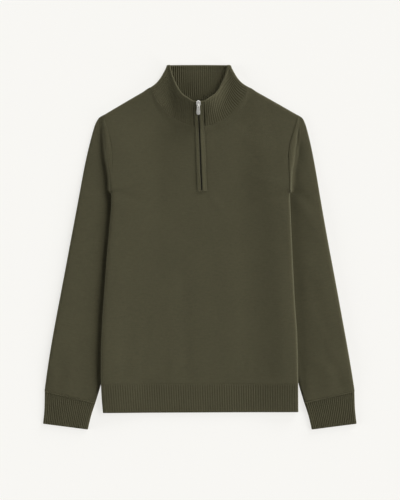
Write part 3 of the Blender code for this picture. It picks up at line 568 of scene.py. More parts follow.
def sleeve_row(y, side):
    """Points of one row of a sleeve, from its front end over the outer edge to its back end."""
    edge_y = y - 5.5 * smooth((y - 225.0) / 50.0)
    edge = abs(sleeve_edge[side](edge_y))
    radius = SLEEVE_TOP / 2
    if y > SLEEVE_FREE:
        below = y < UNDERARM
        start = abs(side_x(y, side)) + (0.0 if below else SEAM / 2)
        width = edge - start
        top = front_height(side * (start + 1.0), y)
        drop = top - SLEEVE_TOP
        bulge = min(crescent(y), 0.3 * width)
        if y > UNDERARM:
            front = [(0.0, top), (0.5 * bulge, top + 0.3), (0.95 * bulge, top - 0.06 * drop)]
            front += [(bulge + 1.2, top - 0.5 * drop), (bulge + 2.7, top - 0.88 * drop)]
            front += [(bulge + 5.8, SLEEVE_TOP + 0.1)]
        else:
            front = next(row.points for row in UNDERARM_ROWS if row.y == y)
        if front[-1][0] > 0.6 * (width - radius):
            step = 0.12 * (width - radius)
            front = [(k * step, top - drop * smooth(k / 5)) for k in range(6)]
        back_end_at = sleeve_inner(y) - start
        back = [(s, 0.0) for s in spread(width - radius, back_end_at, 6)]
        tilt = (edge_y - y) / width
        visible_from = front[-1][0]
    else:
        lean = SLEEVE_LEAN * smooth((UNDERARM - y) / 330.0)
        inner_y = y
        for _ in range(12):
            inner_y = y - (edge - sleeve_inner(inner_y)) * sin(lean) / cos(lean)
        start = sleeve_inner(inner_y)
        width = edge - start
        front = list(INNER_EDGE)
        back = [(s, 0.0) for s in spread(width - radius, 4.2, 4)] + [(1.4, 0.7), (0.0, 2.3)]
        tilt = sin(lean) / cos(lean)
        y -= width * tilt
        visible_from = max(abs(body_edge[side](max(y, HEM_TOP))) + 3.0 - start, front[-1][0])
    points = list(front)
    for s in spread(front[-1][0], width - radius, 4):
        share = (s - visible_from) / max(width - radius - visible_from, 1.0)
        crown = SLEEVE_CROWN * sin(pi * min(max(share, 0.0), 1.0)) * smooth(width / 60.0)
        points.append((s, SLEEVE_TOP + crown))
    points += arc(width - radius, radius, OUTER_TURN) + back
    return [(side * (start + s), y + s * tilt, z) for s, z in points]


def sleeve(side, name):
    """A sleeve: cloth from the front armhole seam round its outer edge to the back one."""
    outer = np.array([sleeve_row(y, side) for y in SLEEVE_ROWS])
    normals = normals_up(outer, False, -1, 8)
    thickness = np.full(outer.shape[:2] + (1,), SLEEVE_CLOTH)
    for r, y in enumerate(SLEEVE_ROWS):
        if y < SLEEVE_FREE:
            normals[r, [0, -1], 2] = 0.0
        if abs(y - UNDERARM) < 14.0:
            thickness[r, :7] = GATHERED_CLOTH
        if y > 260.0:
            thickness[r] = GATHERED_CLOTH
    normals /= np.linalg.norm(normals, axis=2, keepdims=True)
    return wall(name, outer, outer - thickness * normals)


def cuff(side, name):
    """A rib cuff: a flat tube, ribbed where it faces up."""
    radius = CUFF_TOP / 2
    joint_outer = np.array([abs(sleeve_edge[side](CUFF_JOINT_OUTER_Y)) - 0.5, CUFF_JOINT_OUTER_Y])
    joint_inner = np.array([sleeve_inner(CUFF_JOINT_INNER_Y) + 0.4, CUFF_JOINT_INNER_Y])
    outer = []
    for share in (0.0, 0.5, 1.0):
        waist = (CUFF_WAIST * sin(pi * share), 0.0)
        inner_at = joint_inner + (CUFF_END_INNER - joint_inner) * share + waist
        outer_at = joint_outer + (CUFF_END_OUTER - joint_outer) * share - waist
        width = outer_at[0] - inner_at[0]
        path = [(s, 2 * radius) for s in [radius] + spread(radius, width - radius, 2 * CUFF_RIBS)]
        path += arc(width - radius, radius, OUTER_TURN)
        path += [(s, 0.0) for s in spread(width - radius, radius, 6)]
        path += arc(radius, radius, (225.0, 270.0, 315.0))
        slope = (outer_at[1] - inner_at[1]) / width
        outer.append([(side * (inner_at[0] + s), inner_at[1] + slope * s, z) for s, z in path])
    outer = np.array(outer)
    normals = normals_up(outer, True, 1, 8)
    return wall(name, outer, outer - CLOTH * normals, ring=True, ribbed=(0, 2 * CUFF_RIBS))


def along(stations, share):
    """The point (half, y, z) at a share of the way along the stations."""
    spots = np.array(stations)
    steps = np.linalg.norm(np.diff(spots, axis=0), axis=1)
    at = np.concatenate([[0.0], np.cumsum(steps)]) / steps.sum()
    return [spline(at, spots[:, k])(share) for k in range(3)]


def collar_row(rise):
    """One row round the neck, from the zip over the left fold, the back and the right fold."""
    waist = 1.0 - COLLAR_WAIST * 4 * rise * (1 - rise) - COLLAR_LOW_WAIST * rise * (1 - rise) ** 3
    shift = COLLAR_LEAN * rise - COLLAR_SWAY * sin(pi * rise) * (1 - rise)
    front = []
    for k in range(COLLAR_FRONT_RIBS * 2 + 1):
        share = k / (COLLAR_FRONT_RIBS * 2)
        low, high = along(NECK_SEAM, share), along(COLLAR_TOP, share)
        half, y, z = [a + (b - a) * rise for a, b in zip(low, high)]
        z += COLLAR_BULGE * sin(pi * rise) * (1 - share) ** 0.5
        front.append([half, y, z, share])
    fold_x, fold_y = front[-1][0] * waist, front[-1][1]
    back_y = COLLAR_BACK_START + (COLLAR_TOP_BACK - COLLAR_BACK_START) * rise
    half_points = []
    for half, y, z, share in front:
        half_points.append((half * (1 + (waist - 1) * share), y + SEAM / 2, z, share))
    fold = []
    for angle in (36.0, 72.0, 108.0, 144.0, 180.0):
        turn = radians(angle)
        fold.append((fold_x + FOLD_WIDTH * sin(turn), fold_y + SEAM / 2, FOLD_RADIUS * (1 + cos(turn))))
    straight = min(COLLAR_BACK_HALF, fold_x - 1.0)
    sides = {}
    for side in (-1, 1):
        row = []
        for half, y, z, share in half_points:
            toward_slot = abs(slot_x(y, side) + side * SEAM)
            start = half_points[0][0]
            stretch = (half - start) / (half_points[-1][0] - start)
            x = side * toward_slot * (1 - stretch) + (side * half_points[-1][0] + shift) * stretch
            row.append((x, y, z))
        row += [(side * x + shift, y, z) for x, y, z in fold]
        for k in (1, 2, 3):
            x = fold_x + (straight - fold_x) * k / 3
            row.append((side * x + shift, back_curve(x, fold_x, fold_y, back_y), 0.0))
        sides[side] = row
    back = []
    for k in range(1, COLLAR_BACK_RIBS * 2):
        x = -straight + 2 * straight * k / (COLLAR_BACK_RIBS * 2)
        back.append((x + shift, back_curve(abs(x), fold_x, fold_y, back_y), 0.0))
    return sides[-1] + back + sides[1][::-1]


def back_curve(x, fold_x, fold_y, back_y):
    """Height y of a back collar row, level in the middle and rising to the fold."""
    return back_y + SEAM / 2 + (fold_y - back_y) * (x / fold_x) ** 2.2


def collar():
    """The stand collar of doubled rib, its back flat on the floor and its front standing up."""
    outer = np.array([collar_row(rise) for rise in COLLAR_ROWS])
    normals = normals_up(outer, False, 2, 20)
    columns = outer.shape[1]
    front_columns = 2 * COLLAR_FRONT_RIBS + 1
    normals[:, [0, -1], 0] = 0.0
    for fold in (front_columns - 2, columns - front_columns - 6):
        normals[0, fold : fold + 8, 1] = 0.0
    normals /= np.linalg.norm(normals, axis=2, keepdims=True)
    return wall("collar", outer, outer - COLLAR_CLOTH * normals, ribbed=(0, columns - 1))


def front_centre_height(y):
    """Height of the front's or the collar's outside beside the zip."""
    seam = NECK_SEAM[0]
    if y <= seam.y - 12.0:
        return FRONT_TOP
    rise = (y - seam.y) / (COLLAR_TOP[0].y - seam.y)
    if rise <= 0.0:
        return FRONT_TOP + (seam.z - FRONT_TOP) * smooth((y - seam.y + 12.0) / 12.0)
    rise = min(rise, 1.0)
    return seam.z + (COLLAR_TOP[0].z - seam.z) * rise + COLLAR_BULGE * sin(pi * rise)


def placket(name, left_of_zip, right_of_zip):
    """A band along the zip between two distances from it, following the front and the collar."""
    rows = [ZIP_END, *STRIP_ROWS, ZIP_TOP]
    outer = []
    for y in rows:
        line = []
        for share in (0.0, 0.5, 1.0):
            x = zip_x(y) + left_of_zip + (right_of_zip - left_of_zip) * share
            line.append((x, y, front_centre_height(y) + BAND_PROUD))
        outer.append(line)
    outer = np.array(outer)
    slope = np.gradient([front_centre_height(y) for y in rows], rows)
    normals = np.array([(0.0, -g, 1.0) for g in slope])[:, None, :]
    normals /= np.linalg.norm(normals, axis=2, keepdims=True)
    return wall(name, outer, outer - BAND_CLOTH * normals)


def on_slider(along_zip, across, above):
    """World point, in mm, of a point given in the slider's own directions: down the zip, right and out."""
    slope = SLIDER_SLOPE
    return (
        zip_x(SLIDER_Y) + across,
        SLIDER_Y - along_zip * cos(slope) - above * sin(slope),
        front_centre_height(SLIDER_Y) + BAND_PROUD - along_zip * sin(slope) + above * cos(slope),
    )


# Soft troughs (negative) and ridges of the cloth, each along a line between two points
FRONT_CREASES = table(Crease,
    (-150, 250, -120, 60, 26, 0.9), (-70, 235, -95, 120, 20, -0.7), (80, 240, 110, 100, 24, -0.6),
    (130, 250, 150, 120, 18, 0.7), (-30, 60, 60, 48, 22, 0.5), (-40, -60, -30, -270, 17, -1.0),
    (-90, -110, -105, -280, 22, 0.8), (-150, -60, -160, -260, 16, -0.7), (60, -40, 70, -270, 26, 0.7),
    (125, 40, 130, -270, 30, -1.3), (175, -60, 178, -250, 14, 0.6), (-185, 116, -120, 96, 9, -0.8),
    (-182, 128, -110, 142, 10, 0.7), (186, 116, 118, 92, 9, -0.8), (184, 130, 120, 146, 11, 0.7),
    (-14, 116, -34, 92, 8, 0.5), (16, 116, 40, 86, 9, 0.6), (-60, 262, -120, 232, 12, 0.5),
    (62, 258, 116, 226, 13, 0.5), (-130, -286, -120, -240, 9, -0.5), (-62, -288, -58, -246, 8, 0.5),
    (24, -288, 18, -250, 9, -0.5), (98, -288, 104, -244, 8, 0.5), (152, -288, 146, -252, 8, -0.5),
)
SLEEVE_CREASES = table(Crease,
    (214, 210, 226, 130, 8, -0.5), (212, 112, 246, 84, 9, -0.7), (210, 94, 240, 52, 10, 0.7),
    (228, 30, 252, -20, 12, -0.5), (232, -40, 276, -96, 13, 0.6), (244, -110, 268, -170, 12, -0.5),
    (262, -180, 292, -232, 11, 0.5), (244, -262, 256, -306, 8, -0.6), (272, -260, 280, -302, 7, 0.6),
    (296, -258, 300, -298, 7, -0.6), (314, -262, 316, -296, 6, 0.5), (228, -276, 234, -316, 7, 0.5),
)
DETAIL = {
    "front_panel": Detail(5.0, 4.5, 0.9, None, 0, (True, True)),
    "back_panel": Detail(7.0, 6.0, 0.9, None, 0, (True, True)),
    "hem_front": Detail(5.0, 4.0, 1.0, "outer", 5, (False, True)),
    "hem_back": Detail(8.0, 5.0, 1.0, None, 0, (False, True)),
    "sleeve_left": Detail(5.0, 4.0, 0.8, None, 0, (False, True)),
    "sleeve_right": Detail(5.0, 4.0, 0.8, None, 0, (False, True)),
    "cuff_left": Detail(1.6, 4.0, 1.0, "outer", 5, (True, False)),
    "cuff_right": Detail(1.6, 4.0, 1.0, "outer", 5, (True, False)),
    "collar": Detail(3.5, 4.0, 1.45, "both", 5, (True, False)),
    "placket_left": Detail(3.0, 1.0, 1.2, None, 0, (False, False)),
    "placket_right": Detail(3.0, 1.0, 1.2, None, 0, (False, False)),
    "placket_end": Detail(1.0, 0.4, 0.2, None, 0, (False, False)),
}
# Height of the middle of a flat tube, above which its cloth faces up
TUBE_MIDDLE = 2.6
# Rounded edges and seams
EDGE_ANGLES = (8.0, 30.0, 60.0)
EDGE_CLEAR = 1.05
SEAM_OVERLAP = 1.2
SEAM_DIP = 0.4
SEAM_FLAT = 0.35
# Ribs: height against the solid's, roundness, outside share of the collar's, and its rolled top
RIB_SHARE = {"hem_front": 0.6, "cuff_left": 1.3, "cuff_right": 1.2, "collar": 1.0}
RIB_ROUND = 2.2
COLLAR_OUTSIDE = 0.75
COLLAR_ROLL = 1.1
# Ridges of linking stitches: height at the hem and at the cuffs, and where the cuffs' joint runs
HEM_RIDGE = 0.6
CUFF_RIDGE = 1.0
CUFF_JOINT_X = (222.0, 331.6)
# The front's swell under the collar's edge, and the sleeves' own swells and hollows
NECK_STEP = 2.2
SLEEVE_PUFF = 3.4
LEFT_DIP = 1.8
DIP_REACH = 26.0
RIGHT_FILL = 1.7
FILL_START = 2.6
FILL_REACH = 9.0
CREST_DROP = 1.2
CREST_REACH = 8.0
CUFF_FADE = (-318.0, 60.0)
# Pieces whose lower side stays flat when creases move the upper one, and pieces knitted along x and y
THICK = ("back_panel", "hem_back")
FLAT_KNIT = ("front_panel", "back_panel", "hem_front", "hem_back")


def crease_height(x, y, creases):
    """Summed height of the creases at points x, y."""
    total = np.zeros_like(x)
    for c in creases:
        along = np.array([c.x1 - c.x0, c.y1 - c.y0], float)
        length = np.hypot(*along)
        dx, dy = x - c.x0, y - c.y0
        down = (dx * along[0] + dy * along[1]) / length
        # A crease is never straight: it wanders a little on its way
        aside = (dy * along[0] - dx * along[1]) / length
        aside = aside + 0.12 * c.width * np.sin(down / (1.6 * c.width) + c.x0)
        past = np.maximum(0.0, np.maximum(-down, down - length))
        total += c.height * np.exp(-((aside / c.width) ** 2) - (past / (1.4 * c.width)) ** 2)
    return total


def resample(grid, at, index):
    """Rows of grid, which lie at distances at, read at fractional row indices by a monotone cubic."""
    step = np.diff(at)
    tangent = tangents(np.diff(grid, axis=0) / step[:, None, None])
    cell = np.minimum(index.astype(int), len(step) - 1)
    t = (index - cell)[:, None, None]
    width = step[cell][:, None, None]
    return hermite(grid[cell], grid[cell + 1], tangent[cell] * width, tangent[cell + 1] * width, t)


def distances(points, axis):
    """Mean distance of each row (axis 0) or column (axis 1) from the first one."""
    steps = np.linalg.norm(np.diff(points, axis=axis), axis=2).mean(1 - axis)
    return np.concatenate([[0], np.cumsum(steps)])


def at_index(at, index):
    """The distances read at fractional indices."""
    return np.interp(index, np.arange(len(at)), at)


def fine_indices(at, step, edge, cuts, rounded):
    """Fractional indices for a finer grid, and each one's share of the full thickness.

    rounded says for the first and the last end whether it is a free, rounded edge.
    """
    index = []
    last = len(at) - 1
    for cell in range(last):
        count = cuts or max(1, int(np.ceil((at[cell + 1] - at[cell]) / step)))
        index += [cell + k / count for k in range(count)]
    place = at_index(at, np.array(index + [float(last)]))
    clear = edge * EDGE_CLEAR
    place = list(place[(place > at[0] + clear * rounded[0]) & (place < at[-1] - clear * rounded[1])])
    share = [1.0] * len(place)
    for end, (spot, inward) in enumerate(((at[0], 1), (at[-1], -1))):
        angles = (90.0,) + EDGE_ANGLES[::-1] if rounded[end] else (90.0,)
        for angle in angles:
            inset = edge * (1 - cos(radians(angle))) if rounded[end] else 0.0
            where = len(place) if end else 0
            place.insert(where, spot + inward * inset)
            share.insert(where, sin(radians(angle)))
    return np.interp(place, at, np.arange(last + 1)), np.array(share)


def rib_profile(phase):
    """A rounded rib with a narrow furrow, -0.5 to 0.5, for a phase of two steps a rib."""
    return 0.5 - np.abs(np.cos(pi * phase / 2.0)) ** RIB_ROUND


def wall(name, outer, inner, ring=False, holes=(), ribbed=(0, 0)):
    """A fine closed shell between two coarse grids, with rounded edges, creases and ribs."""
    detail = DETAIL[name]
    if ring:
        outer = np.concatenate([outer, outer[:, :1]], axis=1)
        inner = np.concatenate([inner, inner[:, :1]], axis=1)
    middle = (outer + inner) / 2
    row_at, column_at = distances(middle, 0), distances(middle, 1)
    free = [not seam for seam in detail.seams]
    rows, row_share = fine_indices(row_at, detail.row_step, detail.edge, 0, free)
    columns, column_share = fine_indices(
        column_at, detail.column_step, detail.edge, detail.rib_cuts, (not ring, not ring)
    )
    sides = []
    for grid in (outer, inner):
        fine = resample(grid, row_at, rows)
        sides.append(resample(fine.transpose(1, 0, 2), column_at, columns).transpose(1, 0, 2))
    high, low = sides
    middle, half = (high + low) / 2, (high - low) / 2
    thick = np.linalg.norm(half, axis=2, keepdims=True)
    normal = half / np.maximum(thick, 1e-6)
    share = (row_share[:, None] * column_share[None, :])[:, :, None]
    lift = lift_of(name, middle, columns)[:, :, None]
    puff = puff_of(name, middle, high, rows, columns)[:, :, None] * (0.0, 0.0, 1.0)
    high = middle + half * share + normal * lift + puff
    low = middle - half * share + normal * lift * (name not in THICK) + puff
    if detail.ribs:
        first, last = ribbed
        inside = np.clip(np.minimum(columns - first, last - columns) + 0.5, 0.0, 1.0)
        ridge = RIB_HEIGHT * RIB_SHARE[name] * rib_profile(columns) * inside
        ends = [SEAM_FLAT if seam else 1.0 for seam in detail.seams]
        last_row = len(row_at) - 1
        near_seam = np.interp(rows, (0, 0.1, last_row - 0.1, last_row), (ends[0], 1.0, 1.0, ends[1]))
        ridge = ridge[None, :, None] * (row_share * near_seam)[:, None, None]
        high = high + normal * ridge
        if detail.ribs == "both":
            from_top = row_at[-1] - at_index(row_at, rows)
            roll = COLLAR_ROLL * np.exp(-(((from_top - 3.0) / 2.6) ** 2))[:, None, None]
            outside = COLLAR_OUTSIDE - 1.0
            high = high + normal * (roll + ridge * (outside - 0.4 * roll / COLLAR_ROLL))
            low = low - normal * (ridge + 0.6 * roll)
    high, low, rows = tuck_seams(high, low, rows, normal, detail.seams)
    if name in FLAT_KNIT:
        uv = high[:, :, :2]
    else:
        uv = np.stack(np.meshgrid(at_index(column_at, columns), at_index(row_at, rows)), axis=2)
    if ring:
        high, low = high[:, :-1], low[:, :-1]
    return shell(name, high, low, uv, ring, hole_cells(rows, columns, holes))


def tuck_seams(high, low, rows, normal, seams):
    """Adds a row at each sewn end that runs under the neighbour, so that the seam closes in a soft line."""
    for end, before in ((0, 1), (-1, -2)):
        if not seams[end]:
            continue
        beyond = unit(high[end] - high[before]) * SEAM_OVERLAP
        tucked = high[end] + beyond - normal[end] * SEAM_DIP
        place = len(rows) if end else 0
        high = np.insert(high, place, tucked, axis=0)
        low = np.insert(low, place, low[end] + beyond, axis=0)
        rows = np.insert(rows, place, rows[end])
    return high, low, rows


def unit(vectors):
    """The vectors, each made one long."""
    return vectors / np.maximum(np.linalg.norm(vectors, axis=-1, keepdims=True), 1e-9)


def hole_cells(rows, columns, holes):
    """The fine cells that lie in a coarse cell left out."""
    if not holes:
        return set()
    row_cell = np.minimum((rows[:-1] + rows[1:]) / 2, rows[-1] - 1).astype(int)
    column_cell = ((columns[:-1] + columns[1:]) / 2).astype(int)
    return {
        (r, c) for r, a in enumerate(row_cell) for c, b in enumerate(column_cell) if (a, b) in holes
    }


def shell(name, high, low, uv, ring, holes):
    """A closed mesh of two grids joined round their open edges, with its knit coordinates as UVs."""
    rows, columns = high.shape[:2]
    count = rows * columns
    points = np.concatenate([high.reshape(-1, 3), low.reshape(-1, 3)])
    faces, coords, edges = [], [], {}
    for r in range(rows - 1):
        for c in range(columns if ring else columns - 1):
            if (r, c) in holes:
                continue
            d = (c + 1) % columns
            corner = [r * columns + c, r * columns + d, (r + 1) * columns + d, (r + 1) * columns + c]
            at = [uv[r, c], uv[r, c + 1], uv[r + 1, c + 1], uv[r + 1, c]]
            faces.append(corner)
            coords.append(at)
            faces.append([count + i for i in reversed(corner)])
            coords.append(at[::-1])
            for k in range(4):
                edges[(corner[k], corner[(k + 1) % 4])] = (at[k], at[(k + 1) % 4])
    for (a, b), (at_a, at_b) in edges.items():
        if (b, a) not in edges:
            faces.append([b, a, count + a, count + b])
            coords.append([at_b, at_a, at_a, at_b])
    used = np.unique(np.concatenate([np.array(face) for face in faces]))
    place = np.zeros(len(points), int)
    place[used] = np.arange(len(used))
    mesh = new_mesh(name, points[used], [place[face].tolist() for face in faces])
    layer = mesh.uv_layers.new(name="knit")
    layer.data.foreach_set("uv", (np.array(coords) * MM).ravel())
    mesh.validate()
    outward(mesh)
    return add_object(name + "_cloth", mesh)


def face_up(columns):
    """1 for the front's columns that face up, and 0 for those turned under its sides."""
    return np.clip(np.minimum(columns, columns[-1] - columns) - TURNED_COLUMNS + 1.0, 0.0, 1.0)


def lift_of(name, points, columns):
    """How far creases and the ridges of linking stitches move the cloth at these points."""
    x, y, z = points.transpose(2, 0, 1)
    if name == "front_panel":
        edge = smooth((y - (HEM_TOP + 2.0)) / 10.0)
        seam = HEM_RIDGE * np.exp(-(((y - HEM_TOP - 1.4) / 1.1) ** 2))
        return (crease_height(x, y, FRONT_CREASES) * edge + seam) * face_up(columns)
    if name in ("sleeve_left", "sleeve_right"):
        creases = SLEEVE_CREASES
        if name == "sleeve_left":
            creases = [c._replace(y0=c.y0 + 7.0, y1=c.y1 - 7.0, height=0.85 * c.height) for c in creases]
        upper = smooth((z - TUBE_MIDDLE) / 1.2)
        return crease_height(np.abs(x), y, creases) * upper * smooth((268.0 - y) / 30.0)
    if name in ("cuff_left", "cuff_right"):
        joint = np.interp(np.abs(x), CUFF_JOINT_X, (CUFF_JOINT_INNER_Y, CUFF_JOINT_OUTER_Y))
        return CUFF_RIDGE * np.exp(-(((joint - y - 1.6) / 1.2) ** 2)) * smooth((z - TUBE_MIDDLE) / 1.2)
    return np.zeros_like(x)


def reach_at(edges, y, side):
    """The edge's distance from the middle at height y, straight between the table's rows."""
    ys, left, right = zip(*edges)
    return np.interp(y, ys, np.abs(left if side < 0 else right))


def smooth_front(x, y):
    """The outside of the front between its coarse points, without their facets."""
    left, right = [
        np.where(y < UNDERARM, reach_at(BODY_EDGE, y, side), reach_at(ARMHOLE, y, side)) for side in (-1, 1)
    ]
    half, reach = np.abs(x), np.where(x > 0, right, left)
    ramp = smooth((half - (reach - SIDE_SLOPE_FINE[0])) / SIDE_SLOPE_FINE[1])
    rise = np.interp(y, *zip(*SIDE_RISE))
    # The front swells to meet the thicker collar along the neck seam
    neck_y = np.interp(half, [s.half for s in NECK_SEAM], [s.y for s in NECK_SEAM])
    away = np.abs(neck_y - y) / np.sqrt(1.0 + np.where(half > 40.0, 1.0, 0.15))
    swell = NECK_STEP * (1.0 - smooth(away / 18.0)) * (half < NECK_POINT[0])
    return FRONT_TOP + rise * ramp + neck_lift(x, y) + swell


def soften(high, rows, columns):
    """How far the flat of the front moves up or down so that no facet of its coarse grid shows."""
    x, y, z = high.transpose(2, 0, 1)
    reach = np.minimum(reach_at(BODY_EDGE, y, -1), reach_at(BODY_EDGE, y, 1))
    free = smooth((reach - 11.0 - np.abs(x)) / 8.0) * smooth((y - HEM_TOP - 3.0) / 12.0)
    wrap_start = len(LOWER_ROWS) + ROWS_ABOVE - 1
    neck = (np.abs(x) < NECK_POINT[0] - 4.0) & (y > 240.0)
    free *= np.where(neck, 1.0, np.clip(wrap_start - rows, 0.0, 1.0)[:, None])
    free *= face_up(columns) >= 1.0
    return (smooth_front(x, y) - z) * free


def puff_of(name, points, high, rows, columns):
    """How far up the cloth moves: the front off its facets, and a sleeve in its broad swells and hollows."""
    if name == "front_panel":
        return soften(high, rows, columns)
    if name not in ("sleeve_left", "sleeve_right"):
        return np.zeros(points.shape[:2])
    side = -1 if name == "sleeve_left" else 1
    x, y, z = np.abs(points[:, :, 0]), points[:, :, 1], points[:, :, 2]
    outer = reach_at(SLEEVE_EDGE, y, side)
    inner = reach_at(BODY_EDGE, y, side)
    across = smooth((x - inner) / (outer - inner))
    off_cuff = smooth((y - CUFF_FADE[0]) / CUFF_FADE[1])
    puff = SLEEVE_PUFF * across * (smooth((UNDERARM + 60.0 - y) / 120.0) * off_cuff)
    fold = reach_at(ARMHOLE, y, side) + np.interp(y, *zip(*CRESCENT))
    above = y > UNDERARM
    if side < 0:
        # The left sleeve sinks a little beside the body and beside the armhole's fold
        beyond = x - np.where(above, fold + 2.0, inner)
        dip = np.where(above, smooth(beyond / 2.5), 1.0) * (1.0 - smooth((beyond - 2.0) / DIP_REACH))
        puff -= LEFT_DIP * dip * smooth((SHOULDER_TIP - 20.0 - y) / 40.0) * off_cuff
    else:
        # The right sleeve comes down from the armhole's fold in a wider, softer slope
        beyond = x - fold
        down = smooth(beyond / FILL_START)
        fill = down * (1.0 - smooth((beyond - FILL_START) / FILL_REACH))
        crest = smooth((beyond + CREST_REACH) / CREST_REACH) * (1.0 - down)
        near_tip = smooth((SHOULDER_TIP - y) / 40.0) * smooth((y - UNDERARM) / 14.0)
        puff += np.where(above, (RIGHT_FILL * fill - CREST_DROP * crest) * near_tip, 0.0)
    return puff * smooth((z - TUBE_MIDDLE) / 1.6)


# Materials


def add_node(tree, kind, inputs):
    """A shader node; its inputs are set to numbers or linked to sockets."""
    node = tree.nodes.new("ShaderNode" + kind)
    for key, value in inputs.items():
        if isinstance(value, bpy.types.NodeSocket):
            tree.links.new(value, node.inputs[key])
        else:
            node.inputs[key].default_value = value
    return node


def math_node(tree, operation, *values, clamp=False):
    """The result of a math node on sockets or numbers."""
    node = add_node(tree, "Math", dict(enumerate(values)))
    node.operation = operation
    node.use_clamp = clamp
    return node.outputs[0]


def noise(tree, vector, scale, detail=3.0):
    """The value of a noise texture."""
    return add_node(tree, "TexNoise", {"Scale": scale, "Detail": detail, "Vector": vector}).outputs["Fac"]


def swing(tree, value, middle, reach):
    """How far a value is from its middle, times reach."""
    return math_node(tree, "MULTIPLY", math_node(tree, "SUBTRACT", value, middle), reach)


def bump(tree, shader, height, strength, distance):
    """Relief on the shader from a height."""
    node = add_node(tree, "Bump", {"Strength": strength, "Distance": distance, "Height": height})
    tree.links.new(node.outputs[0], shader.inputs["Normal"])


KNIT_ROUGHNESS = 0.92
FUZZ = {
    "Specular IOR Level": 0.18,
    "Sheen Weight": 0.22,
    "Sheen Roughness": 0.55,
    "Sheen Tint": (0.75, 0.72, 0.5, 1.0),
}


def knit_material(name, colour, wale, course, depth):
    """Plain knit: columns of V stitches in relief, with heathered yarn, painted shade between the stitches
    and a soft fuzz.
    """
    made, tree, shader = material(name, colour, KNIT_ROUGHNESS)

    def calc(operation, *values):
        return math_node(tree, operation, *values)

    uv = add_node(tree, "UVMap", {})
    uv.uv_map = "knit"
    split = add_node(tree, "SeparateXYZ", {0: uv.outputs[0]})
    place = add_node(tree, "TexCoord", {}).outputs["Object"]
    # Yarn wanders a little, so columns and rows aren't ruled
    wander = swing(tree, noise(tree, place, 90.0), 0.5, 0.0012)
    u = calc("DIVIDE", calc("ADD", split.outputs[0], wander), wale)
    v = calc("DIVIDE", calc("ADD", split.outputs[1], wander), course)
    across = calc("MULTIPLY", calc("ABSOLUTE", calc("SUBTRACT", calc("FRACT", u), 0.5)), 2.0)
    slanted = calc("SUBTRACT", v, calc("MULTIPLY", across, 0.62))
    loop = calc("ABSOLUTE", calc("SINE", calc("MULTIPLY", slanted, pi)))
    leg = calc("SINE", calc("MULTIPLY", across, pi))
    stitch = calc("MULTIPLY", calc("POWER", leg, 0.6), calc("ADD", calc("MULTIPLY", loop, 0.55), 0.45))
    fuzz = noise(tree, place, 1600.0, 2.0)
    bump(tree, shader, calc("ADD", stitch, calc("MULTIPLY", fuzz, 0.35)), 0.75, depth)
    # Heather: broad dye variation, patches and yarn streaks along the rows; and painted shade, darker where
    # the stitch relief is low between the stitches
    stretch = add_node(tree, "Mapping", {"Scale": (70.0, 420.0, 1.0), "Vector": uv.outputs[0]})
    tone = 1.0
    for layer, middle, reach in (
        (noise(tree, place, 14.0, 4.0), 0.5, 0.16),
        (noise(tree, place, 190.0, 2.0), 0.5, 0.26),
        (noise(tree, stretch.outputs[0], 1.0, 2.0), 0.5, 0.30),
        # painted shade: the colour darkens in the stitch relief's hollows
        (stitch, 0.6, 0.30),
    ):
        tone = calc("ADD", tone, swing(tree, layer, middle, reach))
    grey = add_node(tree, "CombineXYZ", {0: tone, 1: tone, 2: tone})
    paint = add_node(tree, "Mix", {})
    paint.data_type = "RGBA"
    paint.blend_type = "MULTIPLY"
    paint.inputs["Factor"].default_value = 1.0
    paint.inputs["A"].default_value = (*colour, 1.0)
    tree.links.new(grey.outputs[0], paint.inputs["B"])
    tree.links.new(paint.outputs["Result"], shader.inputs["Base Color"])
    for socket, value in FUZZ.items():
        shader.inputs[socket].default_value = value
    return made


def plain_material(name, colour, roughness, grain, metallic=0.0):
    """Thread, tape or metal with fine wear in its roughness and relief."""
    made, tree, shader = material(name, colour, roughness, metallic)
    speck = noise(tree, add_node(tree, "TexCoord", {}).outputs["Object"], grain, 4.0)
    rough = math_node(tree, "ADD", swing(tree, speck, 0.5, 0.3), roughness, clamp=True)
    tree.links.new(rough, shader.inputs["Roughness"])
    bump(tree, shader, speck, 0.5, 0.00005)
    return made


BODY_COLOUR = (0.064, 0.059, 0.031)
RIB_COLOUR = (0.0595, 0.0548, 0.0288)
COLLAR_COLOUR = (0.0637, 0.0586, 0.0308)
BAND_LEFT_COLOUR = (0.068, 0.0627, 0.033)
# The two bands are one knit: the right band's colour is painted lighter than the left's, a painted highlight
# for the light falling on it from the right
BAND_RIGHT_LIT_COLOUR = (0.083, 0.0765, 0.041)
# Width and height of a stitch, and the relief's depth, in metres
PLAIN_STITCH = (0.0021, 0.0016, 0.0006)
RIB_STITCH = (0.0026, 0.0018, 0.0004)
body_knit = knit_material("body_knit", BODY_COLOUR, *PLAIN_STITCH)
rib_knit = knit_material("rib_knit", RIB_COLOUR, *RIB_STITCH)
collar_knit = knit_material("collar_knit", COLLAR_COLOUR, *RIB_STITCH)
band_left_knit = knit_material("band_left_knit", BAND_LEFT_COLOUR, *RIB_STITCH)
# The right band's knit carries that painted highlight in its colour
band_right_lit_knit = knit_material("band_right_lit_knit", BAND_RIGHT_LIT_COLOUR, *RIB_STITCH)
thread = plain_material("thread", (0.045, 0.042, 0.022), 0.8, 900.0)
tape = plain_material("tape", (0.010, 0.010, 0.008), 0.85, 700.0)
coil = plain_material("coil", (0.030, 0.028, 0.018), 0.45, 500.0)
steel = plain_material("steel", (0.93, 0.92, 0.88), 0.38, 400.0, 0.55)


# Small pieces along the zip

TOOTH_SPACING = 1.3
TOOTH_ASIDE = 0.42
TOOTH_SUNK = 0.15
TOOTH_SIZE = (1.25, 0.8, 0.9)
STITCH_SPACING = 3.0
STITCH_SLANT = 0.06
STITCH_SIZE = (0.5, 2.3, 0.34)
END_FOLD = ((-1.7, 0.0), (-1.3, 0.75), (-0.4, 1.25), (0.5, 1.25), (1.3, 0.75), (1.7, 0.0))
END_FOLD_X = (-10.7, 17.1)
END_FOLD_STEPS = 28


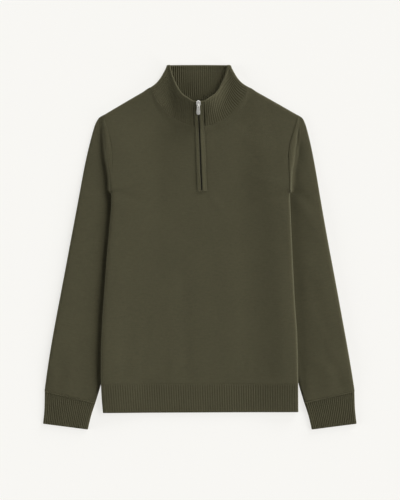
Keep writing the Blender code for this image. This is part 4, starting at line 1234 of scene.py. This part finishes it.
def zip_frame(y, offset):
    """A point on the placket's surface at distance offset from the zip, and the surface's slope there."""
    step = 0.5
    slope = np.arctan2(front_centre_height(y + step) - front_centre_height(y - step), 2 * step)
    return np.array([zip_x(y) + offset, y, front_centre_height(y)]), slope


def beads(name, places, size, look):
    """Many small rounded blocks in one mesh: places are (point, slope, turn)."""
    block = bmesh.new()
    bmesh.ops.create_cube(block, size=1.0)
    bmesh.ops.bevel(block, geom=block.edges[:], offset=0.28, segments=2, affect="EDGES", profile=0.5)
    shape = np.array([v.co for v in block.verts]) * size
    cells = [[v.index for v in f.verts] for f in block.faces]
    block.free()
    points, faces = [], []
    for point, slope, turn in places:
        ca, sa, ct, st = cos(slope), sin(slope), cos(turn), sin(turn)
        x = shape[:, 0] * ct - shape[:, 1] * st
        y = shape[:, 0] * st + shape[:, 1] * ct
        z = shape[:, 2]
        moved = np.stack([x, y * ca - z * sa, y * sa + z * ca], axis=1) + point
        faces += [[len(points) + i for i in cell] for cell in cells]
        points += moved.tolist()
    mesh = new_mesh(name, points, faces)
    mesh.shade_smooth()
    return dress(add_object(name, mesh), look)


def dress(obj, look, body="garment", replaced=()):
    """Gives a piece its material, its body and the node that it stands for."""
    obj.data.materials.clear()
    obj.data.materials.append(look)
    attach(obj, body)
    if replaced:
        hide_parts(*replaced)
    return obj


def along_zip(spacing, start, end):
    """Heights y that are spacing apart along the placket's slope."""
    y, found = start, []
    while y < end:
        found.append(y)
        slope = zip_frame(y, 0.0)[1]
        y += spacing * cos(slope)
    return found


def zip_teeth():
    """The coil: small interlocked elements on both sides of the middle of the gap."""
    places = []
    for k, y in enumerate(along_zip(TOOTH_SPACING, ZIP_END + 2.0, SLIDER_Y - 6.0)):
        point, slope = zip_frame(y, TOOTH_ASIDE * (1 if k % 2 else -1))
        places.append((point + (0.0, 0.0, -TOOTH_SUNK), slope, 0.0))
    return beads("zip_teeth", places, TOOTH_SIZE, coil)


def topstitching():
    """Rows of stitches along both edges of the two bands."""
    places = []
    for offset in (-ZIP_GAP - BAND_LEFT + 1.0, -ZIP_GAP - 1.1, ZIP_GAP + 1.1, ZIP_GAP + BAND_RIGHT - 1.0):
        for y in along_zip(STITCH_SPACING, ZIP_END + 1.5, ZIP_TOP - 2.0):
            point, slope = zip_frame(y, offset)
            places.append((point + (0.0, 0.0, BAND_PROUD + 0.02), slope, STITCH_SLANT))
    return beads("placket_topstitch", places, STITCH_SIZE, thread)


def placket_end():
    """The short sewn fold that closes the lower end of the placket."""
    left, right = END_FOLD_X
    outer = []
    for y, rise in END_FOLD:
        row = []
        for k in range(END_FOLD_STEPS + 1):
            taper = sin(pi * min(max(k / END_FOLD_STEPS, 0.03), 0.97)) ** 0.35
            x = left + (right - left) * k / END_FOLD_STEPS
            waver = 0.15 * sin(k * 1.3)
            row.append((x, ZIP_END + 0.3 + y * taper + waver, FRONT_TOP + 0.1 + rise * taper + 0.6))
        outer.append(row)
    outer = np.array(outer)
    inner = outer * (1, 1, 0) + (0, 0, FRONT_TOP - 0.6)
    return dress(wall("placket_end", outer, inner), rib_knit)


# The slider and its pull, from finer outlines than the solids

def turned(along_zip, above, droop, pivot):
    """Distances along and above after the piece droops about its pivot."""
    down, over = along_zip - pivot[0], above - pivot[1]
    return pivot[0] + down * cos(droop) + over * sin(droop), pivot[1] + over * cos(droop) - down * sin(droop)


def metal_piece(name, outline, bottom, top, round_edge, droop=0.0, pivot=(0.0, 0.0), window=None):
    """A cast metal plate with rounded edges; a window is its place, half length and half width."""
    half_at = spline([s.along for s in outline], [s.half for s in outline])
    first, last = outline[0].along, outline[-1].along
    shares = [0.5 - 0.5 * cos(pi * k / 24) for k in range(25)]
    middle = window[0] if window else (first + last) / 2
    rings = []
    for face, down, angles in ((top, -1, (0.0, 30.0, 60.0, 90.0)), (bottom, 1, (90.0, 60.0, 30.0, 0.0))):
        for angle in angles:
            height = face + down * (round_edge * (1 - sin(radians(90.0 - angle))))
            inset = round_edge * (1 - sin(radians(angle)))
            ring = []
            for side in (1, -1):
                for share in shares[::side][:-1]:
                    spot = first + (last - first) * share
                    half = max(half_at(spot) - inset, 0.12)
                    ring.append((min(max(spot, first + inset), last - inset), side * half, height))
            rings.append(ring)
    inner = []
    for height, grow in ((top, 0.25), (top - 0.2, 0.0), (bottom + 0.2, 0.0), (bottom, 0.25)):
        reach = (window[1] + grow, window[2] + grow) if window else (0.05, 0.05)
        turns = [np.arctan2(across, spot - middle) for spot, across, _ in rings[0]]
        inner.append([(middle + reach[0] * cos(a), reach[1] * sin(a), height) for a in turns])
    faces_between = []
    for near, far in ((inner[0], rings[0]), (inner[3], rings[-1])):
        for share in (0.3, 0.65):
            face = [tuple(a + (b - a) * share for a, b in zip(p, q)) for p, q in zip(near, far)]
            faces_between.append(face)
    near_top, far_top, near_bottom, far_bottom = faces_between
    order = [inner[1], inner[0], near_top, far_top, *rings, far_bottom, near_bottom, inner[3], inner[2]]
    points = []
    for ring in order:
        for spot, across, height in ring:
            down, above = turned(spot, height, droop, pivot)
            points.append(on_slider(down, across, above))
    count, total = len(rings[0]), len(order)
    faces = []
    for r in range(total):
        for c in range(count):
            near, far = r * count, (r + 1) % total * count
            d = (c + 1) % count
            faces.append([near + c, near + d, far + d, far + c])
    mesh = new_mesh(name, points, faces)
    outward(mesh, merge=0.00001)
    return add_object(name, mesh)


def wire(name, path, radius):
    """A round wire through points given along and above the slider."""
    curve = bpy.data.curves.new(name, "CURVE")
    curve.dimensions = "3D"
    curve.bevel_depth = radius * MM
    curve.bevel_resolution = 4
    line = curve.splines.new("POLY")
    line.points.add(len(path) - 1)
    for point, (down, above) in zip(line.points, path):
        point.co = (*(Vector(on_slider(down, 0.0, above)) * MM), 1.0)
    curve.use_fill_caps = True
    return add_object(name, curve)


# Cloth

pieces = {
    "front_panel": (front_panel(), body_knit),
    "back_panel": (back_panel(), body_knit),
    "hem_front": (hem_front(), rib_knit),
    "hem_back": (hem_back(), rib_knit),
    "sleeve_left": (sleeve(-1, "sleeve_left"), body_knit),
    "sleeve_right": (sleeve(1, "sleeve_right"), body_knit),
    "cuff_left": (cuff(-1, "cuff_left"), rib_knit),
    "cuff_right": (cuff(1, "cuff_right"), rib_knit),
    "collar": (collar(), collar_knit),
    "placket_left": (placket("placket_left", -ZIP_GAP - BAND_LEFT, -ZIP_GAP), band_left_knit),
    "placket_right": (placket("placket_right", ZIP_GAP, ZIP_GAP + BAND_RIGHT), band_right_lit_knit),
}
for node, (obj, look) in pieces.items():
    dress(obj, look, replaced=[node])

tape_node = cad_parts["zip_chain"]
tape_node.data.materials.clear()
tape_node.data.materials.append(tape)
teeth = zip_teeth()
stitches = topstitching()
end_fold = placket_end()

# Middle (out from the body's edge, up, high) and half size of each lump
UNDERARM_LUMPS = (((1.1, 118.6, 9.2), (2.4, 4.2, 4.9)), ((-4.4, 114.0, 3.6), (0.6, 10.0, 1.6)))
SORT_ALONG = Vector((1.0, 31.7, 977.3))


def underarm_seam(name, side):
    """The gathered seam allowance that closes the corner under an arm, and its tail under the body."""
    edge = abs(side_x(UNDERARM, side))
    work = bmesh.new()
    for (out, up, high), half in UNDERARM_LUMPS:
        made = bmesh.ops.create_uvsphere(work, u_segments=24, v_segments=16, radius=1.0)
        for vert in made["verts"]:
            x, y, z = (c + h * at for c, h, at in zip((edge + out, up, high), half, vert.co))
            vert.co = (side * x * MM, y * MM, z * MM)
    # The spheres are made with their parts in no fixed order
    work.verts.sort(key=lambda vert: vert.co.dot(SORT_ALONG))
    work.faces.sort(key=lambda face: face.calc_center_median().dot(SORT_ALONG))
    bmesh.ops.recalc_face_normals(work, faces=work.faces)
    layer = work.loops.layers.uv.new("knit")
    for face in work.faces:
        face.smooth = True
        for loop in face.loops:
            loop[layer].uv = (loop.vert.co.x + loop.vert.co.z, loop.vert.co.y)
    mesh = bpy.data.meshes.new(name)
    work.to_mesh(mesh)
    work.free()
    return dress(add_object(name, mesh), body_knit)


underarms = [underarm_seam("underarm_seam_left", -1), underarm_seam("underarm_seam_right", 1)]

# What shows of each piece as it was cut, in metres: all round for sleeves, cuffs and collar
Cut = namedtuple("Cut", "width length rests_on area", defaults=[None])

slider = metal_piece("slider_body", SLIDER, SEAM, SLIDER_TOP, 0.6)
dress(slider, steel, replaced=["zip_slider"])
low, high = ARCH_START + 0.5, ARCH_END - 0.5
BAIL = ((low, 1.4), (low, 3.4), (low + 0.3, 4.5), (low + 1.1, 5.1))
BAIL += ((high - 1.1, 5.1), (high - 0.3, 4.5), (high, 3.4), (high, 1.4))
bail = wire("slider_bail", BAIL, 0.5)
dress(bail, steel)
pull = metal_piece(
    "pull_tab", PULL, PULL_HEIGHT - 0.6, PULL_HEIGHT + 0.6, 0.4,
    droop=PULL_DROOP, pivot=(PULL_BAR, PULL_HEIGHT), window=PULL_WINDOW,
)
dress(pull, steel, body="pull", replaced=["zip_pull"])


# Floor, light and camera

FLOOR_HALF = 4000.0
FLOOR_DROP = 0.4
# The view's height and centre are in metres
VIEW_HEIGHT = 1.070
SENSOR = 36.0
LENS = 135.0
VIEW_CENTRE = (0.0004, -0.0071)
PAPER_COLOUR = (0.2, 0.1985, 0.193)
PAPER_GLOW = (1.0, 0.99, 0.955, 1.0)
PAPER_GLOW_STRENGTH = 0.745
WORLD_COLOUR = (1.0, 0.99, 0.97, 1.0)
WORLD_STRENGTH = 0.08
# Each soft far light: degrees round from +X and above the floor, what it gives to the floor, and its disc
Sun = namedtuple("Sun", "azimuth elevation on_floor disc")
SUNS = {
    "key": Sun(22.0, 36.0, 0.90, 30.0),
    "upper_right": Sun(60.0, 14.0, 0.72, 24.0),
    "lower_right": Sun(330.0, 14.0, 0.42, 24.0),
    "left": Sun(180.0, 14.0, 0.52, 24.0),
}

corners = [(x * FLOOR_HALF, y * FLOOR_HALF, 0) for x, y in ((-1, -1), (1, -1), (1, 1), (-1, 1))]
floor_mesh = new_mesh("floor", corners, [(0, 1, 2, 3)])
floor = add_object("floor", floor_mesh)
floor.location.z = -FLOOR_DROP * MM
paper, _, paper_shader = material("paper", PAPER_COLOUR, 0.9)
paper_shader.inputs["Emission Color"].default_value = PAPER_GLOW
paper_shader.inputs["Emission Strength"].default_value = PAPER_GLOW_STRENGTH
floor_mesh.materials.append(paper)

world = bpy.data.worlds.new("studio")
bpy.context.scene.world = world
world.use_nodes = True
background = world.node_tree.nodes["Background"]
background.inputs["Color"].default_value = WORLD_COLOUR
background.inputs["Strength"].default_value = WORLD_STRENGTH
bpy.context.scene.view_settings.view_transform = "Standard"

for name, light in SUNS.items():
    data = bpy.data.lights.new(name, "SUN")
    turn, rise = radians(light.azimuth), radians(light.elevation)
    data.energy = light.on_floor / sin(rise)
    data.angle = radians(light.disc)
    sun = add_object(name, data)
    sun.rotation_mode = "QUATERNION"
    toward = Vector((cos(rise) * cos(turn), cos(rise) * sin(turn), sin(rise)))
    sun.rotation_quaternion = toward.to_track_quat("Z", "Y")

camera_data = bpy.data.cameras.new("camera")
camera_data.lens = LENS
camera_data.sensor_width = SENSOR
camera_data.clip_end = 20.0
camera = add_object("camera", camera_data)
camera.location = (*VIEW_CENTRE, VIEW_HEIGHT * LENS / SENSOR)
bpy.context.scene.camera = camera
